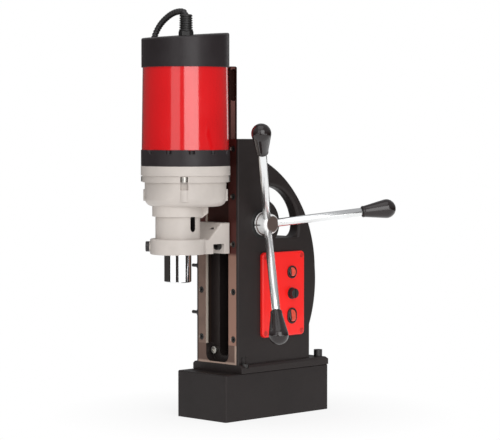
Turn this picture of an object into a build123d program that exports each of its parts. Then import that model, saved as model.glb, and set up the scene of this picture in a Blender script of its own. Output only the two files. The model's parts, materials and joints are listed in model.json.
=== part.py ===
from build123d import *
import math
import os

# Magnetic drill press, an assembly of separate parts, in millimetres.
# +Z is up, +X is the crank side and -Y is the drilling side.
# The origin is the middle of the magnet's underside, where the machine grips its plate.

os.makedirs("parts", exist_ok=True)

# ---------------------------------------------------------------- driving dimensions

# Magnet
MAGNET_W = 80.0
MAGNET_L = 168.0
MAGNET_H = 53.0
COIL_WALL = 9.0
COIL_SLOT = 13.0
COIL_TOP = 38.0

# Frame casting
HALF_W = 34.0
FRONT_Y = -59.0
COLUMN_REAR_Y = -12.0
BOX_REAR_Y = 57.5
FOOT_TOP = 62.0
BOX_TOP = 204.0
FRAME_TOP = 318.0
HANDLE_T = 16.0
HANDLE_ROUND = 4.0
OPENING_R = 48.0
OPENING_Y = -8.4
OPENING_Z = 216.0
OPENING_CORNER_Y = 27.6

# Guide: the slide's neck passes between the gib strips, its flange runs behind them
RUN_GAP = 0.3
NECK_HALF = 18.2
FLANGE_HALF = 21.0
SLIDE_FRONT_Y = -56.5
BRACKET_REAR_Y = -59.6
SLIDE_REAR_Y = -48.0
SLIDE_BOTTOM = 192.0
SLIDE_TOP = 400.0
GUIDE_BOTTOM = 84.0
SLOT_BOTTOM = 64.0
GIB_OUTER = 31.0
GIB_NECK_Y = -55.0
GIB_SLOPE_Y = -51.0
GIB_SCREW_Z = (91.0, 145.0, 199.0, 253.0, 307.0)
ADJUSTER_Z = (118.0, 172.0, 226.0, 280.0)
STOP_SCREW = (-12.5, 76.0)

# Feed pinion, rack and crank
FEED_Y = -20.5
FEED_Z = 221.5
FEED_MODULE = 1.5
FEED_TEETH = 20
FEED_PITCH_R = FEED_MODULE * FEED_TEETH / 2
RACK_PITCH_Y = FEED_Y - FEED_PITCH_R
RACK_HALF = 7.0
RACK_BOTTOM = 196.0
RACK_TOP = 356.0
BOSS_R = 28.0
FEED_BORE_R = 17.2
LEFT_BORE_R = 11.0
HUB_R = 11.5
HUB_START = 35.0
HUB_END = 51.5
HUB_COLLAR_R = 13.2
STUB_LENGTH = 5.0
ARM_ROOT_X = 42.0
ARM_TILT = 27.7
ARM_R = 4.7
ARM_START = 5.0
GRIP_START = 115.5
GRIP_END = 156.5
GRIP_BORE = 18.0
GRIP_R_INNER = 6.0
GRIP_R_OUTER = 11.0
ARM_ANGLES = (7.0, 127.0, 247.0)

# Motor and gearbox
MOTOR_Y = -108.0
SPINDLE_Y = -120.0
MESH_MODULE_1 = 0.8
MESH_TEETH_1 = (10, 40)
MESH_MODULE_2 = 1.25
MESH_TEETH_2 = (11, 37)
MID_X = 13.416
MID_Y = -93.167
BELL_BOTTOM = 243.0
BELL_R = 45.8
BELL_INNER_R = 40.6
GEARBOX_FLANGE_R = 50.1
GEARBOX_TOP = 288.0
FLANGE_BOTTOM = 277.5
NECK_R = 25.0
NECK_BOTTOM = 189.2
RING_BOTTOM = 189.5
RING_TOP = 207.0
RING_R = 31.0
VENT_RING_TOP = 306.0
VENT_RING_R = 49.9
HOUSING_TOP = 398.0
HOUSING_R_LOW = 49.1
HOUSING_R_HIGH = 47.8
HOUSING_BORE_R = 44.5
CAP_R = 49.2
CAP_INNER_R = 45.0
CAP_FRONT_Z = 429.5
CAP_REAR_Z = 438.0
SPINDLE_NOSE_R = 15.2
SPINDLE_BOTTOM = 158.2
SHANK_R = 9.525
SHANK_DEPTH = 30.8
GEAR_BACKLASH = 0.12
PRESSURE = math.radians(20)

# Control panel
PANEL_Y = (-23.3, 45.8)
PANEL_Z = (90.9, 188.3)
PANEL_T = 4.0
CAVITY_Y = (-14.0, 37.0)
CAVITY_Z = (98.0, 181.0)
CAVITY_X = -26.0
CONTROL_Y = 24.0
MOTOR_SWITCH_Z = 164.4
FUSE_Z = 139.9
MAGNET_SWITCH_Z = 113.9
ROCKER_TILT = 8.0
ROCKER_PIVOT_X = 36.8

# Motor lead, a ribbed conduit from the top cap to the left wall of the frame
LEAD_D = 7.2
GLAND_Y = -107.0
GLAND_SEAT = 433.0
LEAD_ROUTE = (
    (0, -107, 450),
    (0, -107, 459.2),
    (-10, -107, 461.5),
    (-25, -107, 458.8),
    (-44.5, -106.5, 447.5),
    (-57, -105.5, 430),
    (-60, -103.5, 407),
    (-60, -99.5, 382),
    (-60, -94, 356),
    (-61.5, -86, 331),
    (-64, -75, 306),
    (-68, -60, 283),
    (-73.5, -43, 261),
    (-79, -25, 241),
    (-84, -8, 219),
    (-87, 5, 196),
    (-85, 12.5, 175),
    (-76.5, 14, 156.5),
    (-61, 14, 146.5),
)
LEAD_GLAND = (-HALF_W, 14.0, 146.5)
LEAD_LAST = (-44.0, 14.0, 146.5)


# ---------------------------------------------------------------- helpers


def disc(plane, radius, length, mode=Mode.ADD, bore=0.0):
    """Add or cut a cylinder, or a tube when it has a bore, standing on a plane."""
    with BuildSketch(plane) as section:
        Circle(radius)
        if bore:
            Circle(bore, mode=Mode.SUBTRACT)
    extrude(section.sketch, amount=length, mode=mode)


def block(x_range, y_range, z_range, mode=Mode.ADD):
    """Add or cut a rectangular block between two values on each axis."""
    middle_x = (x_range[0] + x_range[1]) / 2
    middle_y = (y_range[0] + y_range[1]) / 2
    with BuildSketch(Plane.XY.offset(z_range[0])) as section:
        with Locations((middle_x, middle_y)):
            Rectangle(x_range[1] - x_range[0], y_range[1] - y_range[0])
    extrude(section.sketch, amount=z_range[1] - z_range[0], mode=mode)


def outline(plane, points, length, mode=Mode.ADD):
    """Add or cut a prism of a closed polygon."""
    with BuildSketch(plane) as section:
        Polygon(*points, align=None)
    extrude(section.sketch, amount=length, mode=mode)


def upright(x, y, z):
    """A horizontal plane with its origin at a point."""
    return Plane(origin=(x, y, z))


def along_x(x, y, z):
    """A plane facing +X, with its own x along +Y and its own y along +Z."""
    return Plane(origin=(x, y, z), x_dir=(0, 1, 0), z_dir=(1, 0, 0))


def along_y(x, y, z):
    """A plane facing -Y, with its own x along +X and its own y along +Z."""
    return Plane(origin=(x, y, z), x_dir=(1, 0, 0), z_dir=(0, -1, 0))


def tooth_half_angle(radius, module, teeth):
    """Half the angle that an involute tooth covers at a radius, in radians."""
    pitch_r = module * teeth / 2
    base_r = pitch_r * math.cos(PRESSURE)
    roll = math.acos(base_r / max(radius, base_r))
    involute = math.tan(PRESSURE) - PRESSURE - math.tan(roll) + roll
    return math.pi / (2 * teeth) - GEAR_BACKLASH / (2 * pitch_r) + involute


def gear_face(module, teeth, phase, addendum=0.85, bore=0.0):
    """A spur gear's face, with one tooth centred at the phase angle in degrees."""
    root_r = module * (teeth / 2 - 1.2)
    tip_r = module * (teeth / 2 + addendum)
    base_r = module * teeth / 2 * math.cos(PRESSURE)
    start_r = max(root_r, base_r)
    radii = [root_r * 0.97] + [start_r + (tip_r - start_r) * step / 4 for step in range(5)]
    angles = [tooth_half_angle(radius, module, teeth) for radius in radii]
    left = [(r * math.cos(a), r * math.sin(a)) for r, a in zip(radii, angles)]
    right = [(r * math.cos(a), -r * math.sin(a)) for r, a in zip(radii, angles)]
    with BuildSketch() as face:
        Circle(root_r)
        with PolarLocations(0, teeth, start_angle=phase):
            Polygon(*left, *reversed(right), align=None)
        if bore:
            Circle(bore, mode=Mode.SUBTRACT)
    return face.sketch


def bearing_from(x, y, towards_x, towards_y):
    """Direction from one upright axis to another, in degrees."""
    return math.degrees(math.atan2(towards_y - y, towards_x - x))


def corner_radii(route):
    """The largest even arc at each corner of a route: 0.45 of the shorter run."""
    radii = []
    for before, corner, after in zip(route, route[1:], route[2:]):
        run_in = Vector(corner) - Vector(before)
        run_out = Vector(after) - Vector(corner)
        turn = math.radians(run_in.get_angle(run_out))
        radii.append(0.45 * min(run_in.length, run_out.length) / math.tan(turn / 2))
    return radii


# ---------------------------------------------------------------- magnet

COIL_OUTER_W = MAGNET_W - 2 * COIL_WALL
COIL_OUTER_L = MAGNET_L - 2 * COIL_WALL
COIL_INNER_W = COIL_OUTER_W - 2 * COIL_SLOT
COIL_INNER_L = COIL_OUTER_L - 2 * COIL_SLOT
REAR_BOLTS = ((-30, 77), (30, 77))
SIDE_BOLTS = ((-35.4, -50), (35.4, -50))


def coil_ring(gap, bottom, top, mode=Mode.ADD):
    """The rectangular ring between the outer wall and the centre pole."""
    with BuildSketch(Plane.XY.offset(bottom)) as ring:
        RectangleRounded(COIL_OUTER_W - 2 * gap, COIL_OUTER_L - 2 * gap, 8)
        RectangleRounded(COIL_INNER_W + 2 * gap, COIL_INNER_L + 2 * gap, 4, mode=Mode.SUBTRACT)
    extrude(ring.sketch, amount=top - bottom, mode=mode)


with BuildPart() as magnet_housing:
    with BuildSketch():
        RectangleRounded(MAGNET_W, MAGNET_L, 2.5)
    extrude(amount=MAGNET_H)
    chamfer(magnet_housing.faces().sort_by(Axis.Z)[-1].edges(), 1.0)
    coil_ring(0, 0, COIL_TOP, mode=Mode.SUBTRACT)
    for bolt_x, bolt_y in REAR_BOLTS:
        disc(upright(bolt_x, bolt_y, 41), 3.0, 12, mode=Mode.SUBTRACT)
    for bolt_x, bolt_y in SIDE_BOLTS:
        disc(upright(bolt_x, bolt_y, 43), 2.5, 10, mode=Mode.SUBTRACT)

with BuildPart() as magnet_coil:
    coil_ring(0.8, 6.5, COIL_TOP - 1.5)

with BuildPart() as magnet_potting:
    coil_ring(0.05, 0.4, 6.0)

# ---------------------------------------------------------------- frame casting

with BuildPart() as handle_bow:
    with BuildSketch(along_x(HALF_W - HANDLE_T, 0, 0)):
        with BuildLine():
            upper = ThreePointArc((-12, 292), (45, 244), (69.5, 168))
            lower = ThreePointArc(upper @ 1, (68.5, 132), (59.5, 100))
            Polyline(lower @ 1, (40, 100), (-20, 180), (-20, 292), upper @ 0)
        make_face()
        with Locations((OPENING_Y, OPENING_Z)):
            Circle(OPENING_R, mode=Mode.SUBTRACT)
    extrude(amount=HANDLE_T)
    bow_edges = handle_bow.edges().filter_by(GeomType.CIRCLE)
    fillet(bow_edges, HANDLE_ROUND)

with BuildPart() as frame_casting:
    # Foot slab on the magnet, behind the open front of the magnet
    block((-MAGNET_W / 2, MAGNET_W / 2), (FRONT_Y, MAGNET_L / 2), (MAGNET_H, FOOT_TOP))
    foot_rim = frame_casting.faces().sort_by(Axis.Z)[-1].edges()
    chamfer(foot_rim.sort_by(Axis.Y)[1:], 2.5)
    # Column and electrical box in one side profile, with the boss of the feed shaft
    with BuildSketch(along_x(-HALF_W, 0, 0)) as side:
        with BuildLine():
            Polyline(
                (FRONT_Y, MAGNET_H),
                (BOX_REAR_Y, MAGNET_H),
                (BOX_REAR_Y, BOX_TOP),
                (COLUMN_REAR_Y, BOX_TOP),
                (COLUMN_REAR_Y, FRAME_TOP),
                (FRONT_Y, FRAME_TOP),
                close=True,
            )
        make_face()
        # The sketch's own x is world Y and its own y is world Z
        upper_corners = side.vertices().filter_by(lambda v: v.Y > FOOT_TOP and v.X > FRONT_Y + 1)
        fillet(upper_corners.filter_by(lambda v: v.X > 0 or v.Y > BOX_TOP + 1), 6)
        with Locations((FEED_Y, FEED_Z)):
            Circle(BOSS_R)
    extrude(amount=2 * HALF_W)
    long_edges = frame_casting.edges().filter_by(Axis.Z).filter_by(lambda e: e.length > 60)
    fillet(long_edges.filter_by(lambda e: e.center().Y < COLUMN_REAR_Y + 1), 1.5)
    add(handle_bow.part)
    # Rounded lower rear corner of the handle's opening
    with BuildSketch(along_x(HALF_W - HANDLE_T + 2, 0, 0)) as corner_web:
        with Locations((OPENING_CORNER_Y + 6.2, OPENING_Z - 6.5)):
            Rectangle(12.4, 13)
        with Locations((OPENING_CORNER_Y, OPENING_Z)):
            Circle(OPENING_Z - BOX_TOP, mode=Mode.SUBTRACT)
    extrude(corner_web.sketch, amount=HANDLE_T - 4)
    # Seats of the gib strips, open at the top, and the guide slot below them
    block(
        (-GIB_OUTER, GIB_OUTER),
        (FRONT_Y, SLIDE_REAR_Y + RUN_GAP),
        (GUIDE_BOTTOM, FRAME_TOP),
        Mode.SUBTRACT,
    )
    with BuildSketch(along_y(0, SLIDE_REAR_Y + RUN_GAP, 0)) as slot:
        with Locations((0, (SLOT_BOTTOM + GUIDE_BOTTOM) / 2)):
            Rectangle(2 * NECK_HALF + 0.6, GUIDE_BOTTOM - SLOT_BOTTOM)
        fillet(slot.vertices().group_by(Axis.Y)[0], 8)
    extrude(slot.sketch, amount=SLIDE_REAR_Y + RUN_GAP - FRONT_Y, mode=Mode.SUBTRACT)
    # Deep channel for the rack
    with BuildSketch(along_y(0, -32.5, 0)) as rack_channel:
        with Locations((0, (70 + FRAME_TOP) / 2)):
            Rectangle(2 * RACK_HALF + 1.6, FRAME_TOP - 70)
        fillet(rack_channel.vertices().group_by(Axis.Y)[0], 5)
    extrude(rack_channel.sketch, amount=16, mode=Mode.SUBTRACT)
    # Bores of the feed shaft: pinion and right bush, then left bush
    disc(along_x(-12, FEED_Y, FEED_Z), FEED_BORE_R, 12 + HALF_W, Mode.SUBTRACT)
    disc(along_x(-HALF_W, FEED_Y, FEED_Z), LEFT_BORE_R, HALF_W, Mode.SUBTRACT)
    # Electrical cavity behind the panel, with standoffs for the control board
    block((CAVITY_X, HALF_W), CAVITY_Y, CAVITY_Z, Mode.SUBTRACT)
    for board_y in (-8, 31):
        for board_z in (106, 173):
            disc(along_x(CAVITY_X, board_y, board_z), 3.0, 8.0)
    for screw_y in (PANEL_Y[0] + 5, PANEL_Y[1] - 5):
        for screw_z in (PANEL_Z[0] + 5, PANEL_Z[1] - 5):
            disc(along_x(HALF_W - 10, screw_y, screw_z), 1.5, 10, Mode.SUBTRACT)
    # Cable passages: motor lead through the left wall, mains lead through the rear wall
    disc(along_x(-HALF_W, LEAD_GLAND[1], LEAD_GLAND[2]), 5.0, 9, Mode.SUBTRACT)
    disc(along_y(-16, BOX_REAR_Y, 112), 6.0, 22, Mode.SUBTRACT)
    # Screw holes: gib strips, gib adjusters, slide stop and magnet bolts
    for screw_z in GIB_SCREW_Z:
        for screw_x in (-26.0, 26.0):
            disc(along_y(screw_x, -38, screw_z), 2.0, 10, Mode.SUBTRACT)
    for screw_z in ADJUSTER_Z:
        disc(along_x(-HALF_W, -53.4, screw_z), 2.0, 4, Mode.SUBTRACT)
    disc(along_y(STOP_SCREW[0], -38, STOP_SCREW[1]), 2.5, 10, Mode.SUBTRACT)
    for bolt_x, bolt_y in REAR_BOLTS:
        disc(upright(bolt_x, bolt_y, MAGNET_H), 3.1, 10, Mode.SUBTRACT)
    for bolt_x, bolt_y in SIDE_BOLTS:
        disc(upright(bolt_x, bolt_y, MAGNET_H), 2.6, 6, Mode.SUBTRACT)
        disc(upright(bolt_x, bolt_y, 58.5), 4.8, 13, Mode.SUBTRACT)

# Gib strips, right one drawn and left one mirrored


def gib_section(side):
    """A gib strip's section, wider at its front than where the slide's flange runs."""
    inner = NECK_HALF + RUN_GAP
    flange = FLANGE_HALF + RUN_GAP
    rear = SLIDE_REAR_Y + RUN_GAP
    return [
        (side * inner, FRONT_Y),
        (side * GIB_OUTER, FRONT_Y),
        (side * GIB_OUTER, rear),
        (side * flange, rear),
        (side * flange, GIB_SLOPE_Y - RUN_GAP),
        (side * inner, GIB_NECK_Y - RUN_GAP),
    ]


def gib_strip(side):
    """Cut and drill one gib strip inside the active part."""
    outline(Plane.XY.offset(GUIDE_BOTTOM), gib_section(side), FRAME_TOP - GUIDE_BOTTOM)
    for screw_z in GIB_SCREW_Z:
        disc(along_y(side * 26.0, -47, screw_z), 2.2, 13, Mode.SUBTRACT)
        disc(along_y(side * 26.0, FRONT_Y + 3.4, screw_z), 3.8, 4, Mode.SUBTRACT)


with BuildPart() as left_gib_strip:
    gib_strip(-1)

with BuildPart() as right_gib_strip:
    gib_strip(1)

with BuildPart() as gib_strip_screws:
    for screw_z in GIB_SCREW_Z:
        for screw_x in (-26.0, 26.0):
            disc(along_y(screw_x, -38, screw_z), 1.95, 17.6)
            disc(along_y(screw_x, FRONT_Y + 3.4, screw_z), 3.5, 3.0)
            with BuildSketch(along_y(screw_x, FRONT_Y + 2.4, screw_z)) as socket:
                RegularPolygon(1.7, 6)
            extrude(socket.sketch, amount=3, mode=Mode.SUBTRACT)

with BuildPart() as gib_adjuster_screws:
    for screw_z in ADJUSTER_Z:
        disc(along_x(-46, -53.4, screw_z), 1.95, 46 - GIB_OUTER)
        with BuildSketch(along_x(-HALF_W - 3, -53.4, screw_z)) as nut:
            RegularPolygon(4.0, 6)
        extrude(nut.sketch, amount=3)

with BuildPart() as magnet_bolts:
    for bolt_x, bolt_y in REAR_BOLTS:
        disc(upright(bolt_x, bolt_y, 43), 2.95, 20)
        disc(upright(bolt_x, bolt_y, FOOT_TOP), 5.0, 8)
        with BuildSketch(upright(bolt_x, bolt_y, FOOT_TOP + 4)) as socket:
            RegularPolygon(2.9, 6)
        extrude(socket.sketch, amount=5, mode=Mode.SUBTRACT)
    for bolt_x, bolt_y in SIDE_BOLTS:
        disc(upright(bolt_x, bolt_y, 44), 2.45, 15)
        disc(upright(bolt_x, bolt_y, 58.5), 4.2, 5)
        with BuildSketch(upright(bolt_x, bolt_y, 61)) as socket:
            RegularPolygon(2.3, 6)
        extrude(socket.sketch, amount=5, mode=Mode.SUBTRACT)

with BuildPart() as slide_stop_screw:
    stop_x, stop_z = STOP_SCREW
    guide_wall_y = SLIDE_REAR_Y + RUN_GAP
    disc(along_y(stop_x, -38.5, stop_z), 2.45, -38.5 - guide_wall_y)
    disc(along_y(stop_x, guide_wall_y, stop_z), 4.2, 5)
    with BuildSketch(along_y(stop_x, guide_wall_y - 3, stop_z)) as socket:
        RegularPolygon(2.3, 6)
    extrude(socket.sketch, amount=5, mode=Mode.SUBTRACT)

# ---------------------------------------------------------------- control panel and switches

PANEL_CENTRE = (sum(PANEL_Y) / 2, sum(PANEL_Z) / 2)
PANEL_FACE_X = HALF_W + PANEL_T
SWITCH_RADII = (7.4, 6.3, 5.2)
OVAL_STRETCH = 3.6


def capsule(plane, radius, stretch, length, mode=Mode.ADD):
    """A round or upright oval prism standing on a plane that faces +X."""
    with BuildSketch(plane) as section:
        if stretch:
            SlotCenterToCenter(stretch, 2 * radius, rotation=90)
        else:
            Circle(radius)
    extrude(section.sketch, amount=length, mode=mode)


def switch_housing(z, stretch):
    """Body, bezel and rocker well of a panel switch, with its two terminals."""
    bezel_r, body_r, rocker_r = SWITCH_RADII
    capsule(along_x(18, CONTROL_Y, z), body_r, stretch, PANEL_FACE_X - 18)
    capsule(along_x(PANEL_FACE_X, CONTROL_Y, z), bezel_r, stretch, 1.8)
    capsule(along_x(30, CONTROL_Y, z), rocker_r + 0.9, stretch, 14, Mode.SUBTRACT)
    for side in (-2.6, 2.6):
        block((12, 18.2), (CONTROL_Y + side - 0.4, CONTROL_Y + side + 0.4), (z - 2.4, z + 2.4))


def rocker(z, stretch):
    """A rocker about its pivot, tilted to its off position."""
    tilt = math.radians(ROCKER_TILT)
    facing = Vector(math.cos(tilt), 0, math.sin(tilt))
    back = Vector(ROCKER_PIVOT_X, CONTROL_Y, z) - facing * 2.6
    plane = Plane(origin=tuple(back), x_dir=(0, 1, 0), z_dir=tuple(facing))
    capsule(plane, SWITCH_RADII[2], stretch, 6.2)


with BuildPart() as control_panel:
    with BuildSketch(along_x(HALF_W, 0, 0)):
        with Locations(PANEL_CENTRE):
            RectangleRounded(PANEL_Y[1] - PANEL_Y[0], PANEL_Z[1] - PANEL_Z[0], 5)
    extrude(amount=PANEL_T)
    fillet(control_panel.faces().sort_by(Axis.X)[-1].edges(), 2.0)
    for switch_z, stretch in ((MOTOR_SWITCH_Z, 0), (MAGNET_SWITCH_Z, OVAL_STRETCH)):
        hole_plane = along_x(HALF_W, CONTROL_Y, switch_z)
        capsule(hole_plane, SWITCH_RADII[1] + 0.1, stretch, 9, Mode.SUBTRACT)
    disc(along_x(HALF_W, CONTROL_Y, FUSE_Z), 5.6, 9, Mode.SUBTRACT)
    for screw_y in (PANEL_Y[0] + 5, PANEL_Y[1] - 5):
        for screw_z in (PANEL_Z[0] + 5, PANEL_Z[1] - 5):
            disc(along_x(HALF_W, screw_y, screw_z), 1.6, 9, Mode.SUBTRACT)
            disc(along_x(PANEL_FACE_X - 1.6, screw_y, screw_z), 3.0, 3, Mode.SUBTRACT)

with BuildPart() as panel_screws:
    for screw_y in (PANEL_Y[0] + 5, PANEL_Y[1] - 5):
        for screw_z in (PANEL_Z[0] + 5, PANEL_Z[1] - 5):
            disc(along_x(HALF_W - 9, screw_y, screw_z), 1.45, 9 + PANEL_T - 1)
            disc(along_x(PANEL_FACE_X - 1.6, screw_y, screw_z), 2.8, 1.7)
            block(
                (PANEL_FACE_X - 0.6, PANEL_FACE_X + 1),
                (screw_y - 0.4, screw_y + 0.4),
                (screw_z - 2, screw_z + 2),
                Mode.SUBTRACT,
            )

with BuildPart() as motor_switch_housing:
    switch_housing(MOTOR_SWITCH_Z, 0)
    fillet(motor_switch_housing.faces().sort_by(Axis.X)[-1].outer_wire().edges(), 0.7)

with BuildPart() as magnet_switch_housing:
    switch_housing(MAGNET_SWITCH_Z, OVAL_STRETCH)
    fillet(magnet_switch_housing.faces().sort_by(Axis.X)[-1].outer_wire().edges(), 0.7)

with BuildPart() as motor_rocker:
    rocker(MOTOR_SWITCH_Z, 0)
    fillet(motor_rocker.faces().sort_by(Axis.X)[-1].edges(), 1.0)

with BuildPart() as magnet_rocker:
    rocker(MAGNET_SWITCH_Z, OVAL_STRETCH)
    fillet(magnet_rocker.faces().sort_by(Axis.X)[-1].edges(), 1.0)

with BuildPart() as fuse_holder:
    disc(along_x(12, CONTROL_Y, FUSE_Z), 5.5, PANEL_FACE_X - 12)
    disc(along_x(PANEL_FACE_X, CONTROL_Y, FUSE_Z), 6.6, 1.2)
    disc(along_x(15, CONTROL_Y, FUSE_Z), 4.3, 30, Mode.SUBTRACT)
    block((7, 12.2), (CONTROL_Y - 0.5, CONTROL_Y + 0.5), (FUSE_Z - 2, FUSE_Z + 2))

with BuildPart() as fuse_cap:
    disc(along_x(17, CONTROL_Y, FUSE_Z), 4.0, PANEL_FACE_X + 1.5 - 17)
    disc(along_x(PANEL_FACE_X + 1.5, CONTROL_Y, FUSE_Z), 5.6, 5.0)
    fillet(fuse_cap.faces().sort_by(Axis.X)[-1].edges(), 0.8)
    block(
        (PANEL_FACE_X + 5.3, PANEL_FACE_X + 8),
        (CONTROL_Y - 0.6, CONTROL_Y + 0.6),
        (FUSE_Z - 7, FUSE_Z + 7),
        Mode.SUBTRACT,
    )

with BuildPart() as control_board:
    block((CAVITY_X + 8.0, CAVITY_X + 9.6), (-12, 35), (102, 178))
    block((CAVITY_X + 9.6, CAVITY_X + 26), (-8, 8), (140, 160))
    block((CAVITY_X + 9.6, CAVITY_X + 20), (-6, 14), (112, 124))
    disc(along_x(CAVITY_X + 9.6, 12, 150), 6.0, 18)
    disc(along_x(CAVITY_X + 9.6, 14, 132), 4.0, 14)

with BuildPart() as mains_gland:
    disc(along_y(-16, BOX_REAR_Y, 112), 5.9, 14)
    with BuildSketch(along_y(-16, BOX_REAR_Y + 6, 112)) as nut:
        RegularPolygon(10.0, 6)
    extrude(nut.sketch, amount=6)
    disc(along_y(-16, BOX_REAR_Y + 18, 112), 7.4, 12)
    fillet(mains_gland.faces().sort_by(Axis.Y)[-1].edges(), 2.0)
    disc(along_y(-16, BOX_REAR_Y + 18, 112), 4.0, 40, Mode.SUBTRACT)

with BuildPart() as lead_gland:
    disc(along_x(-HALF_W, LEAD_GLAND[1], LEAD_GLAND[2]), 4.9, 7.5)
    with BuildSketch(along_x(-HALF_W - 5, LEAD_GLAND[1], LEAD_GLAND[2])) as nut:
        RegularPolygon(8.0, 6)
    extrude(nut.sketch, amount=5)
    disc(along_x(LEAD_LAST[0], LEAD_GLAND[1], LEAD_GLAND[2]), 6.2, 5)
    disc(along_x(LEAD_LAST[0], LEAD_GLAND[1], LEAD_GLAND[2]), 2.6, 20, Mode.SUBTRACT)

# ---------------------------------------------------------------- feed: bushes, shaft, crank

with BuildPart() as feed_bush_right:
    disc(along_x(10.2, FEED_Y, FEED_Z), FEED_BORE_R, HALF_W - 10.2, bore=10.04)

with BuildPart() as feed_bush_left:
    disc(along_x(-HALF_W, FEED_Y, FEED_Z), LEFT_BORE_R, 22, bore=7.54)

SHAFT_STEPS = (
    (-HALF_W - 2, -9, 7.5),
    (-9, -RACK_HALF, 10.0),
    (RACK_HALF, 10, 12.5),
    (10, HUB_START, 10.0),
)

with BuildPart() as feed_pinion_shaft:
    for step_start, step_end, step_r in SHAFT_STEPS:
        disc(along_x(step_start, FEED_Y, FEED_Z), step_r, step_end - step_start)
    extrude(
        along_x(-RACK_HALF, FEED_Y, FEED_Z) * gear_face(FEED_MODULE, FEED_TEETH, 180),
        amount=2 * RACK_HALF,
    )
    disc(along_x(HUB_START, FEED_Y, FEED_Z), 6.0, STUB_LENGTH)
    disc(along_x(-HALF_W - 2, FEED_Y, FEED_Z), 2.5, 14, Mode.SUBTRACT)


def arm_direction(angle):
    """Unit vector of a crank arm, seen from +X at an angle above +Y."""
    reach = math.cos(math.radians(ARM_TILT))
    return Vector(
        math.sin(math.radians(ARM_TILT)),
        reach * math.cos(math.radians(angle)),
        reach * math.sin(math.radians(angle)),
    )


def arm_plane(angle, distance):
    """A plane square to a crank arm at a distance from its root on the shaft's axis."""
    root = Vector(ARM_ROOT_X, FEED_Y, FEED_Z)
    direction = arm_direction(angle)
    return Plane(origin=tuple(root + direction * distance), z_dir=tuple(direction))


with BuildPart() as crank_hub:
    disc(along_x(HUB_START, FEED_Y, FEED_Z), HUB_R, HUB_END - HUB_START)
    fillet(crank_hub.faces().sort_by(Axis.X)[-1].edges(), 4.5)
    disc(along_x(HUB_START, FEED_Y, FEED_Z), HUB_COLLAR_R, 2.2)
    disc(along_x(HUB_START, FEED_Y, FEED_Z), 6.0, STUB_LENGTH, Mode.SUBTRACT)
    for arm_angle in ARM_ANGLES:
        disc(arm_plane(arm_angle, ARM_START), ARM_R, 20, Mode.SUBTRACT)
    block(
        (HUB_START, HUB_START + 7.5),
        (FEED_Y - HUB_COLLAR_R - 1, FEED_Y + HUB_COLLAR_R + 1),
        (FEED_Z - 1.9, FEED_Z - 0.5),
        Mode.SUBTRACT,
    )


def crank_arm(angle):
    """One polished rod, screwed into the hub and into its grip."""
    disc(arm_plane(angle, ARM_START), ARM_R, GRIP_START + GRIP_BORE - ARM_START)


def crank_grip(angle):
    """One conical grip with a ball end, bored for its rod."""
    taper = GRIP_END - GRIP_START - GRIP_R_OUTER
    upwards = (Align.CENTER, Align.CENTER, Align.MIN)
    with Locations(arm_plane(angle, GRIP_START)):
        Cone(GRIP_R_INNER, GRIP_R_OUTER, taper, align=upwards)
        Cylinder(ARM_R, GRIP_BORE, align=upwards, mode=Mode.SUBTRACT)
    with Locations(arm_plane(angle, GRIP_END - GRIP_R_OUTER)):
        Sphere(GRIP_R_OUTER)


with BuildPart() as crank_arm_1:
    crank_arm(ARM_ANGLES[0])

with BuildPart() as crank_arm_2:
    crank_arm(ARM_ANGLES[1])

with BuildPart() as crank_arm_3:
    crank_arm(ARM_ANGLES[2])

with BuildPart() as crank_grip_1:
    crank_grip(ARM_ANGLES[0])

with BuildPart() as crank_grip_2:
    crank_grip(ARM_ANGLES[1])

with BuildPart() as crank_grip_3:
    crank_grip(ARM_ANGLES[2])

with BuildPart() as feed_shaft_screws:
    disc(along_x(-HALF_W - 4, FEED_Y, FEED_Z), 10.5, 2)
    disc(along_x(-HALF_W - 4, FEED_Y, FEED_Z), 2.4, 15)
    disc(along_x(-HALF_W - 8, FEED_Y, FEED_Z), 4.4, 4)
    with BuildSketch(along_x(-HALF_W - 8, FEED_Y, FEED_Z)) as socket:
        RegularPolygon(2.3, 6)
    extrude(socket.sketch, amount=2.5, mode=Mode.SUBTRACT)

# ---------------------------------------------------------------- slide, rack and bracket

BRACKET_SCREWS = ((-13, 197), (13, 197), (-13, 214), (13, 214))
RACK_SCREW_Z = (204.0, 250.0, 302.0, 348.0)
RACK_BACK_Y = -37.6


def slide_section():
    """The slide's section: neck at the front, sloping out to the flange behind."""
    right = [
        (NECK_HALF, SLIDE_FRONT_Y),
        (NECK_HALF, GIB_NECK_Y),
        (FLANGE_HALF, GIB_SLOPE_Y),
        (FLANGE_HALF, SLIDE_REAR_Y),
    ]
    left = [(-x, y) for x, y in reversed(right)]
    return right + left


with BuildPart() as slide_bar:
    outline(Plane.XY.offset(SLIDE_BOTTOM), slide_section(), SLIDE_TOP - SLIDE_BOTTOM)
    chamfer(slide_bar.faces().sort_by(Axis.Z)[-1].edges(), 1.0)
    # Long pockets milled into both sides near the top
    for side in (-1, 1):
        with BuildSketch(along_x(side * 22, 0, 0)) as pocket:
            with Locations((-52.2, 379)):
                SlotOverall(36, 7, rotation=90)
        extrude(pocket.sketch, amount=side * -5.3, mode=Mode.SUBTRACT)
    for screw_x, screw_z in BRACKET_SCREWS:
        disc(along_y(screw_x, SLIDE_REAR_Y - 2, screw_z), 2.5, 12, Mode.SUBTRACT)
    for screw_z in RACK_SCREW_Z:
        disc(along_y(0, SLIDE_REAR_Y, screw_z), 2.0, 12, Mode.SUBTRACT)

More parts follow.
